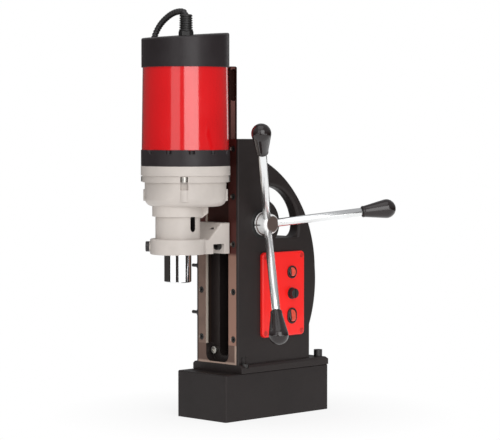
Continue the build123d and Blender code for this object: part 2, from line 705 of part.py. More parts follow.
with BuildPart() as feed_rack:
    block((-RACK_HALF, RACK_HALF), (SLIDE_REAR_Y, RACK_BACK_Y + 0.2), (RACK_BOTTOM, RACK_TOP))
    tooth_pitch = math.pi * FEED_MODULE
    lean = math.tan(PRESSURE)
    tip_half = tooth_pitch / 4 - 0.85 * FEED_MODULE * lean - GEAR_BACKLASH / 2
    root_half = tip_half + (RACK_PITCH_Y + 0.85 * FEED_MODULE - RACK_BACK_Y) * lean
    tooth = (
        (RACK_BACK_Y, -root_half),
        (RACK_PITCH_Y + 0.85 * FEED_MODULE, -tip_half),
        (RACK_PITCH_Y + 0.85 * FEED_MODULE, tip_half),
        (RACK_BACK_Y, root_half),
    )
    first_tooth = math.ceil((RACK_BOTTOM + 3 - FEED_Z) / tooth_pitch)
    last_tooth = math.floor((RACK_TOP - 3 - FEED_Z) / tooth_pitch) - 1
    with BuildSketch(along_x(-RACK_HALF, 0, 0)):
        for index in range(first_tooth, last_tooth + 1):
            with Locations((0, FEED_Z + (index + 0.5) * tooth_pitch)):
                Polygon(*tooth, align=None)
    extrude(amount=2 * RACK_HALF)
    for screw_z in RACK_SCREW_Z:
        disc(along_y(0, -33, screw_z), 2.1, 16, Mode.SUBTRACT)
        disc(along_y(0, -33, screw_z), 3.8, 9, Mode.SUBTRACT)

with BuildPart() as slide_screws:
    for screw_z in RACK_SCREW_Z:
        disc(along_y(0, -42.2, screw_z), 1.95, 13.2)
        disc(along_y(0, -39, screw_z), 3.5, 3.0)
    for screw_x, screw_z in BRACKET_SCREWS:
        disc(along_y(screw_x, -51, screw_z), 2.45, 18)
        disc(along_y(screw_x, -68.4, screw_z), 4.2, 5)
        with BuildSketch(along_y(screw_x, -71, screw_z)) as socket:
            RegularPolygon(2.3, 6)
        extrude(socket.sketch, amount=5, mode=Mode.SUBTRACT)

with BuildPart() as mount_bracket:
    # Clamp ring round the gearbox neck
    disc(upright(0, SPINDLE_Y, RING_BOTTOM), RING_R, RING_TOP - RING_BOTTOM)
    fillet(mount_bracket.edges().filter_by(GeomType.CIRCLE), 1.5)
    # Arm back to the slide, with its raised plate
    with BuildSketch(along_x(-22, 0, 0)) as arm:
        with BuildLine():
            Polyline(
                (SPINDLE_Y, RING_BOTTOM + 0.5),
                (BRACKET_REAR_Y, RING_BOTTOM - 1.0),
                (BRACKET_REAR_Y, 223.5),
                (-73.0, 223.5),
                (-92.0, 205.5),
                (SPINDLE_Y, 205.5),
                close=True,
            )
        make_face()
    extrude(amount=44)
    arm_edges = mount_bracket.edges().filter_by(lambda e: abs(abs(e.center().X) - 22) < 0.01)
    fillet(arm_edges.filter_by(lambda e: e.center().Y > -95 and e.center().Z > 204), 2.0)
    block((-NECK_HALF + 0.4, NECK_HALF - 0.4), (BRACKET_REAR_Y - 1, SLIDE_FRONT_Y), (192.5, 223.0))
    # Relief across the underside
    block((-30, 30), (-86, -68.5), (180, 200), Mode.SUBTRACT)
    disc(upright(0, SPINDLE_Y, RING_BOTTOM - 2), NECK_R + 0.03, 40, Mode.SUBTRACT)
    # Boss of the set screw on the front left of the ring
    boss_plane = Plane(origin=(-18.4, SPINDLE_Y - 18.4, 198.2), z_dir=(-1, -1, 0))
    disc(boss_plane, 6.0, 5.6)
    disc(boss_plane, 3.0, 12, Mode.SUBTRACT)
    disc(upright(0, SPINDLE_Y, RING_BOTTOM - 2), NECK_R + 0.03, 40, Mode.SUBTRACT)
    for screw_x, screw_z in BRACKET_SCREWS:
        disc(along_y(screw_x, SLIDE_FRONT_Y + 1, screw_z), 2.6, 18, Mode.SUBTRACT)
        disc(along_y(screw_x, -68.4, screw_z), 4.4, 12, Mode.SUBTRACT)

with BuildPart() as bracket_set_screw:
    disc(boss_plane, 2.95, 7)
    disc(boss_plane.offset(5.6), 5.8, 4.4)
    fillet(bracket_set_screw.faces().sort_by(Axis((0, 0, 0), (-1, -1, 0)))[-1].edges(), 1.0)
    with BuildSketch(boss_plane.offset(7.5)) as socket:
        RegularPolygon(2.6, 6)
    extrude(socket.sketch, amount=5, mode=Mode.SUBTRACT)

# ---------------------------------------------------------------- gearbox

GEARBOX_SCREW_ANGLES = (-45, 45, 135, 225)
GEARBOX_SCREW_R = 46.3
PLATE_BOTTOM = 284.4
LOWER_BEARING_Z = (191.6, 203.6)
UPPER_BEARING_Z = (227.0, 238.0)
NECK_BORE_R = 16.5


def around_motor(radius, angle, z):
    """A horizontal plane at a polar place about the motor's axis."""
    turn = math.radians(angle)
    return upright(radius * math.cos(turn), MOTOR_Y + radius * math.sin(turn), z)


with BuildPart() as gearbox_housing:
    # Bell with a rounded bottom, stepped flange above it
    disc(upright(0, MOTOR_Y, BELL_BOTTOM), BELL_R, 40)
    fillet(gearbox_housing.faces().sort_by(Axis.Z)[0].edges(), 9)
    disc(upright(0, MOTOR_Y, 270), 48.4, 9)
    disc(upright(0, MOTOR_Y, FLANGE_BOTTOM), GEARBOX_FLANGE_R, GEARBOX_TOP - FLANGE_BOTTOM)
    for screw_angle in GEARBOX_SCREW_ANGLES:
        disc(around_motor(41.0, screw_angle, BELL_BOTTOM + 6), 6.4, 30)
    # Neck on the spindle's axis
    disc(upright(0, SPINDLE_Y, 232), 28.5, 12)
    disc(upright(0, SPINDLE_Y, NECK_BOTTOM), NECK_R, 50)
    for rib_angle in (45, 135):
        turn = math.radians(rib_angle)
        rib_plane = Plane(
            origin=(-3 * math.sin(turn), SPINDLE_Y + 3 * math.cos(turn), 0),
            x_dir=(math.cos(turn), math.sin(turn), 0),
            z_dir=(math.sin(turn), -math.cos(turn), 0),
        )
        outline(rib_plane, ((20, 230), (27, 230), (34, 235.5), (34, 246), (20, 246)), 6)
    # Inside: bell cavity, plate seat, bearing seats and neck bore
    disc(upright(0, MOTOR_Y, 249), BELL_INNER_R, 60, Mode.SUBTRACT)
    disc(upright(0, MOTOR_Y, PLATE_BOTTOM), 43.6, 10, Mode.SUBTRACT)
    disc(upright(0, SPINDLE_Y, UPPER_BEARING_Z[0]), 18.5, 30, Mode.SUBTRACT)
    lower_seat = LOWER_BEARING_Z[1] - NECK_BOTTOM + 1
    disc(upright(0, SPINDLE_Y, NECK_BOTTOM - 1), 21.0, lower_seat, Mode.SUBTRACT)
    disc(upright(0, SPINDLE_Y, 195), NECK_BORE_R, 60, Mode.SUBTRACT)
    disc(upright(MID_X, MID_Y, 244.6), 6.5, 10, Mode.SUBTRACT)
    # Screw pockets in the bosses, open outwards
    for screw_angle in GEARBOX_SCREW_ANGLES:
        disc(around_motor(GEARBOX_SCREW_R, screw_angle, 262), 4.6, 14.5, Mode.SUBTRACT)
        disc(around_motor(GEARBOX_SCREW_R, screw_angle, 270), 1.75, 20, Mode.SUBTRACT)
    # Window in the side of the neck
    with BuildSketch(along_x(14, SPINDLE_Y, 224.5)) as window:
        SlotOverall(19, 7.5, rotation=90)
    extrude(window.sketch, amount=14, mode=Mode.SUBTRACT)

with BuildPart() as gear_plate:
    disc(upright(0, MOTOR_Y, PLATE_BOTTOM), 43.4, GEARBOX_TOP - PLATE_BOTTOM)
    disc(upright(0, MOTOR_Y, GEARBOX_TOP - 0.2), 16.0, 6.4)
    disc(upright(0, MOTOR_Y, 286), 13.0, 10, Mode.SUBTRACT)
    disc(upright(0, MOTOR_Y, 280), 6.5, 10, Mode.SUBTRACT)
    disc(upright(MID_X, MID_Y, 280), 6.0, 7.0, Mode.SUBTRACT)

with BuildPart() as motor_screws:
    for screw_angle in GEARBOX_SCREW_ANGLES:
        disc(around_motor(GEARBOX_SCREW_R, screw_angle, 274), 1.6, 42)
        disc(around_motor(GEARBOX_SCREW_R, screw_angle, 270.5), 3.7, 6)
        with BuildSketch(around_motor(GEARBOX_SCREW_R, screw_angle, 269)) as socket:
            RegularPolygon(1.7, 6)
        extrude(socket.sketch, amount=4, mode=Mode.SUBTRACT)

with BuildPart() as vent_ring:
    ring_height = VENT_RING_TOP - GEARBOX_TOP
    disc(upright(0, MOTOR_Y, GEARBOX_TOP), VENT_RING_R, ring_height, bore=HOUSING_BORE_R)
    fillet(vent_ring.faces().sort_by(Axis.Z)[0].outer_wire().edges(), 0.8)
    for notch in range(12):
        disc(around_motor(VENT_RING_R, notch * 30 + 25, VENT_RING_TOP - 4.5), 3.4, 8, Mode.SUBTRACT)
    for screw_angle in GEARBOX_SCREW_ANGLES:
        disc(around_motor(GEARBOX_SCREW_R, screw_angle, GEARBOX_TOP - 1), 1.7, 30, Mode.SUBTRACT)

# ---------------------------------------------------------------- motor

STATOR_Z = (318.0, 364.0)
COMMUTATOR_Z = (374.0, 390.0)
TOP_BEARING_Z = (401.5, 408.5)
STATOR_BORE_R = 28.6
COIL_SECTOR = 66.0


def sector(radius, inner, middle_angle, spread):
    """A ring sector about the motor's axis, for the active sketch."""
    first = math.radians(middle_angle - spread / 2)
    last = math.radians(middle_angle + spread / 2)
    middle = math.radians(middle_angle)
    corners = [
        (r * math.cos(turn), r * math.sin(turn))
        for r, turn in (
            (inner, first),
            (radius, first),
            (radius, middle),
            (radius, last),
            (inner, last),
            (inner, middle),
        )
    ]
    with BuildLine() as rim:
        Line(corners[0], corners[1])
        ThreePointArc(corners[1], corners[2], corners[3])
        Line(corners[3], corners[4])
        ThreePointArc(corners[4], corners[5], corners[0])
    with BuildSketch() as face:
        add(rim.line)
        make_face()
    return face.sketch


with BuildPart() as motor_housing:
    height = HOUSING_TOP - VENT_RING_TOP
    with Locations(upright(0, MOTOR_Y, VENT_RING_TOP)):
        Cone(HOUSING_R_LOW, HOUSING_R_HIGH, height, align=(Align.CENTER, Align.CENTER, Align.MIN))
    disc(upright(0, MOTOR_Y, VENT_RING_TOP - 1), HOUSING_BORE_R, height + 2, Mode.SUBTRACT)
    for screw_angle in GEARBOX_SCREW_ANGLES:
        disc(around_motor(GEARBOX_SCREW_R, screw_angle, VENT_RING_TOP - 1), 1.65, 12, Mode.SUBTRACT)

with BuildPart() as stator_core:
    stack_height = STATOR_Z[1] - STATOR_Z[0]
    disc(upright(0, MOTOR_Y, STATOR_Z[0]), HOUSING_BORE_R - 0.1, stack_height, bore=STATOR_BORE_R)
    for side in (90, 270):
        window = sector(41.0, 31.0, side, COIL_SECTOR)
        extrude(upright(0, MOTOR_Y, STATOR_Z[0] - 1) * window, amount=60, mode=Mode.SUBTRACT)

with BuildPart() as field_coils:
    for side in (90, 270):
        winding = sector(40.8, 31.2, side, COIL_SECTOR - 1)
        extrude(upright(0, MOTOR_Y, STATOR_Z[0] - 8) * winding, amount=62)

with BuildPart() as brush_holders:
    for side in (-1, 1):
        x_span = sorted((side * 18.5, side * (HOUSING_BORE_R - 0.6)))
        block(x_span, (MOTOR_Y - 5.5, MOTOR_Y + 5.5), (375.5, 388.5))
        bore_span = sorted((side * 10, side * 42))
        block(bore_span, (MOTOR_Y - 3.4, MOTOR_Y + 3.4), (377.5, 386.5), Mode.SUBTRACT)

with BuildPart() as carbon_brushes:
    for side in (-1, 1):
        x_span = sorted((side * 16.6, side * 34))
        block(x_span, (MOTOR_Y - 3.3, MOTOR_Y + 3.3), (377.6, 386.4))

with BuildPart() as top_cap:
    disc(upright(0, MOTOR_Y, HOUSING_TOP), CAP_R, 42)
    rise = (CAP_REAR_Z - CAP_FRONT_Z) / (2 * CAP_R)
    overrun = 52
    slope_front = (MOTOR_Y - overrun, CAP_FRONT_Z - (overrun - CAP_R) * rise)
    slope_rear = (MOTOR_Y + overrun, CAP_REAR_Z + (overrun - CAP_R) * rise)
    above = (slope_front, slope_rear, (MOTOR_Y + overrun, 450), (MOTOR_Y - overrun, 450))
    outline(along_x(-60, 0, 0), above, 120, Mode.SUBTRACT)
    fillet(top_cap.faces().sort_by(Axis.Z)[-1].edges(), 2.0)
    disc(upright(0, MOTOR_Y, HOUSING_TOP - 1), CAP_INNER_R, 23.5, Mode.SUBTRACT)
    # Bearing bridge across the cap's mouth
    disc(upright(0, MOTOR_Y, 400), 14.0, 22)
    block((-CAP_INNER_R - 1, CAP_INNER_R + 1), (MOTOR_Y - 3, MOTOR_Y + 3), (403, 422))
    block((-3, 3), (MOTOR_Y - CAP_INNER_R - 1, MOTOR_Y + CAP_INNER_R + 1), (403, 422))
    disc(upright(0, MOTOR_Y, 399), 11.0, TOP_BEARING_Z[1] - 399, Mode.SUBTRACT)
    disc(upright(0, MOTOR_Y, 399), 6.2, 14, Mode.SUBTRACT)
    disc(upright(0, GLAND_Y, GLAND_SEAT), 9.8, 10, Mode.SUBTRACT)
    disc(upright(0, GLAND_Y, 412), 4.5, 30, Mode.SUBTRACT)

with BuildPart() as cap_gland:
    disc(upright(0, GLAND_Y, GLAND_SEAT - 9), 4.4, 12)
    with BuildSketch(upright(0, GLAND_Y, GLAND_SEAT)) as nut:
        RegularPolygon(8.4, 6)
    extrude(nut.sketch, amount=6)
    disc(upright(0, GLAND_Y, GLAND_SEAT + 5), 7.2, LEAD_ROUTE[0][2] - GLAND_SEAT - 5)
    fillet(cap_gland.faces().sort_by(Axis.Z)[-1].edges(), 1.2)
    disc(upright(0, GLAND_Y, GLAND_SEAT - 10), 2.8, 40, Mode.SUBTRACT)

with BuildPart() as shaft_bearings:
    lower_height = LOWER_BEARING_Z[1] - LOWER_BEARING_Z[0]
    upper_height = UPPER_BEARING_Z[1] - UPPER_BEARING_Z[0]
    disc(upright(0, SPINDLE_Y, LOWER_BEARING_Z[0]), 21.0, lower_height, bore=14.04)
    disc(upright(0, SPINDLE_Y, UPPER_BEARING_Z[0]), 18.5, upper_height, bore=10.04)
    disc(upright(0, MOTOR_Y, 286), 13.0, 7.5, bore=5.04)
    top_height = TOP_BEARING_Z[1] - TOP_BEARING_Z[0]
    disc(upright(0, MOTOR_Y, TOP_BEARING_Z[0]), 11.0, top_height, bore=4.04)
    disc(upright(MID_X, MID_Y, 244.6), 6.5, 4.6, bore=4.04)
    disc(upright(MID_X, MID_Y, PLATE_BOTTOM), 6.0, 2.6, bore=4.04)

# Armature, intermediate shaft and spindle: gear phases set so that the teeth mesh

MOTOR_TO_MID = bearing_from(0, MOTOR_Y, MID_X, MID_Y)
MID_TO_MOTOR = MOTOR_TO_MID + 180
MID_TO_SPINDLE = bearing_from(MID_X, MID_Y, 0, SPINDLE_Y)
SPINDLE_TO_MID = MID_TO_SPINDLE + 180

with BuildPart() as armature_shaft:
    pinion = gear_face(MESH_MODULE_1, MESH_TEETH_1[0], MOTOR_TO_MID)
    extrude(upright(0, MOTOR_Y, 269) * pinion, amount=12)
    disc(upright(0, MOTOR_Y, 281), 5.0, 93)
    disc(upright(0, MOTOR_Y, 374), 4.6, 26)
    disc(upright(0, MOTOR_Y, 400), 4.0, 9.5)

with BuildPart() as armature_core:
    disc(upright(0, MOTOR_Y, 316), STATOR_BORE_R - 0.8, 50, bore=5.0)
    for slot_angle in range(0, 360, 30):
        disc(around_motor(25.5, slot_angle, 315), 1.6, 52, Mode.SUBTRACT)
    disc(upright(0, MOTOR_Y, 306), 21.0, 10.5, bore=5.0)
    disc(upright(0, MOTOR_Y, 365.5), 21.0, 7.5, bore=5.0)

with BuildPart() as commutator:
    bar_length = COMMUTATOR_Z[1] - COMMUTATOR_Z[0]
    disc(upright(0, MOTOR_Y, COMMUTATOR_Z[0]), 16.0, bar_length, bore=4.6)
    for bar in range(24):
        turn = math.radians(bar * 15)
        slit = Plane(
            origin=(16.0 * math.cos(turn), MOTOR_Y + 16.0 * math.sin(turn), COMMUTATOR_Z[0] - 1),
            x_dir=(math.cos(turn), math.sin(turn), 0),
            z_dir=(0, 0, 1),
        )
        outline(slit, ((-1, -0.3), (1, -0.3), (1, 0.3), (-1, 0.3)), 18, Mode.SUBTRACT)

with BuildPart() as cooling_fan:
    disc(upright(0, MOTOR_Y, 295), 9.0, 9, bore=5.0)
    disc(upright(0, MOTOR_Y, 303), 41.0, 1.6, bore=8.0)
    for blade in range(9):
        turn = math.radians(blade * 40)
        blade_plane = Plane(
            origin=(0, MOTOR_Y, 295.5),
            x_dir=(math.cos(turn), math.sin(turn), 0),
            z_dir=(0, 0, 1),
        )
        outline(blade_plane, ((20, -0.8), (40, 7), (39.4, 8.6), (19.5, 0.8)), 8)

with BuildPart() as intermediate_shaft:
    small = gear_face(MESH_MODULE_2, MESH_TEETH_2[0], MID_TO_SPINDLE)
    extrude(upright(MID_X, MID_Y, 250.6) * small, amount=12)
    disc(upright(MID_X, MID_Y, 245), 4.0, 6)
    disc(upright(MID_X, MID_Y, 262.6), 6.0, 20.6)
    disc(upright(MID_X, MID_Y, 283), 4.0, 3.8)

with BuildPart() as intermediate_gear:
    large = gear_face(MESH_MODULE_1, MESH_TEETH_1[1], MID_TO_MOTOR + 180 / MESH_TEETH_1[1], bore=6.0)
    extrude(upright(MID_X, MID_Y, 270) * large, amount=9.5)

SET_SCREW_PLANES = (
    Plane(origin=(0, SPINDLE_Y, 171), z_dir=(0, 1, 0)),
    Plane(origin=(0, SPINDLE_Y, 171), z_dir=(-1, 0, 0)),
)

with BuildPart() as spindle:
    disc(upright(0, SPINDLE_Y, SPINDLE_BOTTOM), SPINDLE_NOSE_R, 31.4)
    chamfer(spindle.faces().sort_by(Axis.Z)[0].edges(), 1.0)
    disc(upright(0, SPINDLE_Y, SPINDLE_BOTTOM + 31.4), 14.0, 27)
    disc(upright(0, SPINDLE_Y, SPINDLE_BOTTOM + 58.4), 10.0, 250 - SPINDLE_BOTTOM - 58.4)
    disc(upright(0, SPINDLE_Y, 250), 9.0, 14)
    disc(upright(0, SPINDLE_Y, SPINDLE_BOTTOM), SHANK_R, SHANK_DEPTH, Mode.SUBTRACT)
    for screw_plane in SET_SCREW_PLANES:
        disc(screw_plane, 3.3, 20, Mode.SUBTRACT)

with BuildPart() as spindle_gear:
    wheel = gear_face(MESH_MODULE_2, MESH_TEETH_2[1], SPINDLE_TO_MID + 180 / MESH_TEETH_2[1], bore=9.0)
    extrude(upright(0, SPINDLE_Y, 251) * wheel, amount=11)

with BuildPart() as arbor_set_screws:
    for screw_plane in SET_SCREW_PLANES:
        disc(screw_plane.offset(SHANK_R + 0.2), 3.2, 5.2)
        with BuildSketch(screw_plane.offset(SHANK_R + 3)) as socket:
            RegularPolygon(1.8, 6)
        extrude(socket.sketch, amount=5, mode=Mode.SUBTRACT)

# ---------------------------------------------------------------- motor lead

lead_radii = corner_radii(LEAD_ROUTE + (LEAD_LAST,))
print("motor lead radii", [round(radius, 1) for radius in lead_radii])

with BuildPart() as motor_lead:
    with BuildLine() as lead_path:
        FilletPolyline(*LEAD_ROUTE, LEAD_LAST, radius=lead_radii)
    lead_wire = lead_path.wires()[0]
    with BuildSketch(Plane(origin=LEAD_ROUTE[0], z_dir=lead_wire % 0)):
        Circle(LEAD_D / 2)
    sweep(path=lead_wire)
print("motor lead length", round(lead_wire.length, 1))
print("motor lead volume ratio", motor_lead.part.volume / (lead_wire.length * math.pi * LEAD_D**2 / 4))

# ---------------------------------------------------------------- labels and files

magnet_housing.part.label = "magnet_housing"
export_step(magnet_housing.part, "parts/magnet_housing.step")
magnet_coil.part.label = "magnet_coil"
export_step(magnet_coil.part, "parts/magnet_coil.step")
magnet_potting.part.label = "magnet_potting"
export_step(magnet_potting.part, "parts/magnet_potting.step")
frame_casting.part.label = "frame_casting"
export_step(frame_casting.part, "parts/frame_casting.step")
left_gib_strip.part.label = "left_gib_strip"
export_step(left_gib_strip.part, "parts/left_gib_strip.step")
right_gib_strip.part.label = "right_gib_strip"
export_step(right_gib_strip.part, "parts/right_gib_strip.step")
gib_strip_screws.part.label = "gib_strip_screws"
export_step(gib_strip_screws.part, "parts/gib_strip_screws.step")
gib_adjuster_screws.part.label = "gib_adjuster_screws"
export_step(gib_adjuster_screws.part, "parts/gib_adjuster_screws.step")
magnet_bolts.part.label = "magnet_bolts"
export_step(magnet_bolts.part, "parts/magnet_bolts.step")
slide_stop_screw.part.label = "slide_stop_screw"
export_step(slide_stop_screw.part, "parts/slide_stop_screw.step")
control_panel.part.label = "control_panel"
export_step(control_panel.part, "parts/control_panel.step")
panel_screws.part.label = "panel_screws"
export_step(panel_screws.part, "parts/panel_screws.step")
motor_switch_housing.part.label = "motor_switch_housing"
export_step(motor_switch_housing.part, "parts/motor_switch_housing.step")
magnet_switch_housing.part.label = "magnet_switch_housing"
export_step(magnet_switch_housing.part, "parts/magnet_switch_housing.step")
motor_rocker.part.label = "motor_rocker"
export_step(motor_rocker.part, "parts/motor_rocker.step")
magnet_rocker.part.label = "magnet_rocker"
export_step(magnet_rocker.part, "parts/magnet_rocker.step")
fuse_holder.part.label = "fuse_holder"
export_step(fuse_holder.part, "parts/fuse_holder.step")
fuse_cap.part.label = "fuse_cap"
export_step(fuse_cap.part, "parts/fuse_cap.step")
control_board.part.label = "control_board"
export_step(control_board.part, "parts/control_board.step")
mains_gland.part.label = "mains_gland"
export_step(mains_gland.part, "parts/mains_gland.step")
lead_gland.part.label = "lead_gland"
export_step(lead_gland.part, "parts/lead_gland.step")
feed_bush_right.part.label = "feed_bush_right"
export_step(feed_bush_right.part, "parts/feed_bush_right.step")
feed_bush_left.part.label = "feed_bush_left"
export_step(feed_bush_left.part, "parts/feed_bush_left.step")
feed_pinion_shaft.part.label = "feed_pinion_shaft"
export_step(feed_pinion_shaft.part, "parts/feed_pinion_shaft.step")
crank_hub.part.label = "crank_hub"
export_step(crank_hub.part, "parts/crank_hub.step")
crank_arm_1.part.label = "crank_arm_1"
export_step(crank_arm_1.part, "parts/crank_arm_1.step")
crank_arm_2.part.label = "crank_arm_2"
export_step(crank_arm_2.part, "parts/crank_arm_2.step")
crank_arm_3.part.label = "crank_arm_3"
export_step(crank_arm_3.part, "parts/crank_arm_3.step")
crank_grip_1.part.label = "crank_grip_1"
export_step(crank_grip_1.part, "parts/crank_grip_1.step")
crank_grip_2.part.label = "crank_grip_2"
export_step(crank_grip_2.part, "parts/crank_grip_2.step")
crank_grip_3.part.label = "crank_grip_3"
export_step(crank_grip_3.part, "parts/crank_grip_3.step")
feed_shaft_screws.part.label = "feed_shaft_screws"
export_step(feed_shaft_screws.part, "parts/feed_shaft_screws.step")
slide_bar.part.label = "slide_bar"
export_step(slide_bar.part, "parts/slide_bar.step")
feed_rack.part.label = "feed_rack"
export_step(feed_rack.part, "parts/feed_rack.step")
slide_screws.part.label = "slide_screws"
export_step(slide_screws.part, "parts/slide_screws.step")
mount_bracket.part.label = "mount_bracket"
export_step(mount_bracket.part, "parts/mount_bracket.step")
bracket_set_screw.part.label = "bracket_set_screw"
export_step(bracket_set_screw.part, "parts/bracket_set_screw.step")
gearbox_housing.part.label = "gearbox_housing"
export_step(gearbox_housing.part, "parts/gearbox_housing.step")
gear_plate.part.label = "gear_plate"
export_step(gear_plate.part, "parts/gear_plate.step")
motor_screws.part.label = "motor_screws"
export_step(motor_screws.part, "parts/motor_screws.step")
vent_ring.part.label = "vent_ring"
export_step(vent_ring.part, "parts/vent_ring.step")
motor_housing.part.label = "motor_housing"
export_step(motor_housing.part, "parts/motor_housing.step")
stator_core.part.label = "stator_core"
export_step(stator_core.part, "parts/stator_core.step")
field_coils.part.label = "field_coils"
export_step(field_coils.part, "parts/field_coils.step")
brush_holders.part.label = "brush_holders"
export_step(brush_holders.part, "parts/brush_holders.step")
carbon_brushes.part.label = "carbon_brushes"
export_step(carbon_brushes.part, "parts/carbon_brushes.step")
top_cap.part.label = "top_cap"
export_step(top_cap.part, "parts/top_cap.step")
cap_gland.part.label = "cap_gland"
export_step(cap_gland.part, "parts/cap_gland.step")
shaft_bearings.part.label = "shaft_bearings"
export_step(shaft_bearings.part, "parts/shaft_bearings.step")
armature_shaft.part.label = "armature_shaft"
export_step(armature_shaft.part, "parts/armature_shaft.step")
armature_core.part.label = "armature_core"
export_step(armature_core.part, "parts/armature_core.step")
commutator.part.label = "commutator"
export_step(commutator.part, "parts/commutator.step")
cooling_fan.part.label = "cooling_fan"
export_step(cooling_fan.part, "parts/cooling_fan.step")
intermediate_shaft.part.label = "intermediate_shaft"
export_step(intermediate_shaft.part, "parts/intermediate_shaft.step")
intermediate_gear.part.label = "intermediate_gear"
export_step(intermediate_gear.part, "parts/intermediate_gear.step")
spindle.part.label = "spindle"
export_step(spindle.part, "parts/spindle.step")
spindle_gear.part.label = "spindle_gear"
export_step(spindle_gear.part, "parts/spindle_gear.step")
arbor_set_screws.part.label = "arbor_set_screws"
export_step(arbor_set_screws.part, "parts/arbor_set_screws.step")
motor_lead.part.label = "motor_lead"
export_step(motor_lead.part, "parts/motor_lead.step")
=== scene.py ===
import json
import math
import bpy
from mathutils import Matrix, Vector


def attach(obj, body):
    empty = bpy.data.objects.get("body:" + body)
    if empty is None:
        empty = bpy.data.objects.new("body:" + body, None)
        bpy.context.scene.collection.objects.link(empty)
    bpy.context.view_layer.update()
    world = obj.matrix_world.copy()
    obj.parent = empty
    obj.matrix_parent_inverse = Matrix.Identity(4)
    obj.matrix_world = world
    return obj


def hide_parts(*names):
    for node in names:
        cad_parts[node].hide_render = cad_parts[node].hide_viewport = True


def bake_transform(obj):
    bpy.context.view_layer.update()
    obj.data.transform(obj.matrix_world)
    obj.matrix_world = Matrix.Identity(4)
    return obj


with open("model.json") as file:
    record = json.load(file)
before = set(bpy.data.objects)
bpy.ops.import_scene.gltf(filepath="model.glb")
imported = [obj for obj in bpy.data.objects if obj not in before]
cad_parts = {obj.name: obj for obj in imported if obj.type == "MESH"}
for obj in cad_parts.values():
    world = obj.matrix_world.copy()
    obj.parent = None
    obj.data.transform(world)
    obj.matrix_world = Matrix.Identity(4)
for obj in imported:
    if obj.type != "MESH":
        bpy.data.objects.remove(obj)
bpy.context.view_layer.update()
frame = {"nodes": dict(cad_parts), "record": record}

MM = 0.001
NODES = frame["nodes"]

# Camera: degrees, millimetres of focal length and metres
CAMERA_AZIMUTH = 45.14
CAMERA_DROP = 2.53
CAMERA_LENS = 147.1
CAMERA_PLACE = (1.67353, -1.67150, 0.32849)
ROOM_LIGHT = 0.45

# Places on the machine where a finish, a painted highlight or a painted shade changes, in metres
SPINDLE_Y = -0.120
NECK_INNER_R = 0.0243
NECK_WINDOW_TOP = 0.2427
# Painted shade on the spindle above this height, where it sits in the gearbox's neck
SPINDLE_SHADE_Z = 0.192
PAD_FRONT_Y = -0.0586
PAD_HALF_WIDTH = 0.0312
PAD_BOTTOM = 0.0623
PAD_TOP = 0.0842
# Painted highlight along the bottom and the right-hand edge of the bare pad
PAD_HIGHLIGHT_Z = 0.0645
PAD_HIGHLIGHT_X = 0.0285
GIB_FRONT_Y = -0.0552
# The gib strips are coloured darker above this height
GIB_DARKER_Z = 0.187
# Where the painted shade on the rockers ends
ROCKER_SHADE_EDGE_Y = 0.0216


# ------------------------------------------------------------ camera, world and lights

def make_camera():
    azimuth = math.radians(CAMERA_AZIMUTH)
    drop = math.radians(CAMERA_DROP)
    data = bpy.data.cameras.new("camera")
    data.sensor_width = 36.0
    data.lens = CAMERA_LENS
    data.clip_start = 0.05
    data.clip_end = 60.0
    camera = bpy.data.objects.new("camera", data)
    bpy.context.scene.collection.objects.link(camera)
    camera.location = CAMERA_PLACE
    level = math.cos(drop)
    ahead = Vector((-math.sin(azimuth) * level, math.cos(azimuth) * level, -math.sin(drop)))
    camera.rotation_mode = "QUATERNION"
    camera.rotation_quaternion = ahead.to_track_quat("-Z", "Y")
    bpy.context.scene.camera = camera


def make_world():
    world = bpy.data.worlds.new("studio")
    bpy.context.scene.world = world
    world.use_nodes = True
    tree = world.node_tree
    tree.nodes.clear()
    out = tree.nodes.new("ShaderNodeOutputWorld")
    seen = tree.nodes.new("ShaderNodeBackground")
    seen.inputs["Color"].default_value = (1.0, 1.0, 1.0, 1)
    seen.inputs["Strength"].default_value = 1.0
    room = tree.nodes.new("ShaderNodeBackground")
    room.inputs["Strength"].default_value = ROOM_LIGHT
    ramp = tree.nodes.new("ShaderNodeValToRGB")
    ramp.color_ramp.elements[0].position = 0.48
    ramp.color_ramp.elements[0].color = (0.10, 0.09, 0.085, 1)
    ramp.color_ramp.elements[1].position = 0.72
    ramp.color_ramp.elements[1].color = (0.95, 0.95, 0.97, 1)
    coords = tree.nodes.new("ShaderNodeTexCoord")
    split = tree.nodes.new("ShaderNodeSeparateXYZ")
    lift = tree.nodes.new("ShaderNodeMath")
    lift.operation = "MULTIPLY_ADD"
    lift.inputs[1].default_value = 0.5
    lift.inputs[2].default_value = 0.5
    path = tree.nodes.new("ShaderNodeLightPath")
    mix = tree.nodes.new("ShaderNodeMixShader")
    link = tree.links.new
    link(coords.outputs["Generated"], split.inputs[0])
    link(split.outputs["Z"], lift.inputs[0])
    link(lift.outputs[0], ramp.inputs["Fac"])
    link(ramp.outputs["Color"], room.inputs["Color"])
    link(path.outputs["Is Camera Ray"], mix.inputs["Fac"])
    link(room.outputs[0], mix.inputs[1])
    link(seen.outputs[0], mix.inputs[2])
    link(mix.outputs[0], out.inputs["Surface"])


def softbox(name, azimuth, distance, height, width, tall, radiance, target_z=0.28):
    """An area light that faces the machine from an azimuth, 0 in front and 90 on the crank side."""
    data = bpy.data.lights.new(name, "AREA")
    data.shape = "RECTANGLE"
    data.size = width
    data.size_y = tall
    data.energy = radiance * math.pi * width * tall
    light = bpy.data.objects.new(name, data)
    bpy.context.scene.collection.objects.link(light)
    turn = math.radians(azimuth)
    light.location = (distance * math.sin(turn), -distance * math.cos(turn), height)
    aim = Vector((0.0, -0.05, target_z)) - light.location
    light.rotation_mode = "QUATERNION"
    light.rotation_quaternion = aim.to_track_quat("-Z", "Y")


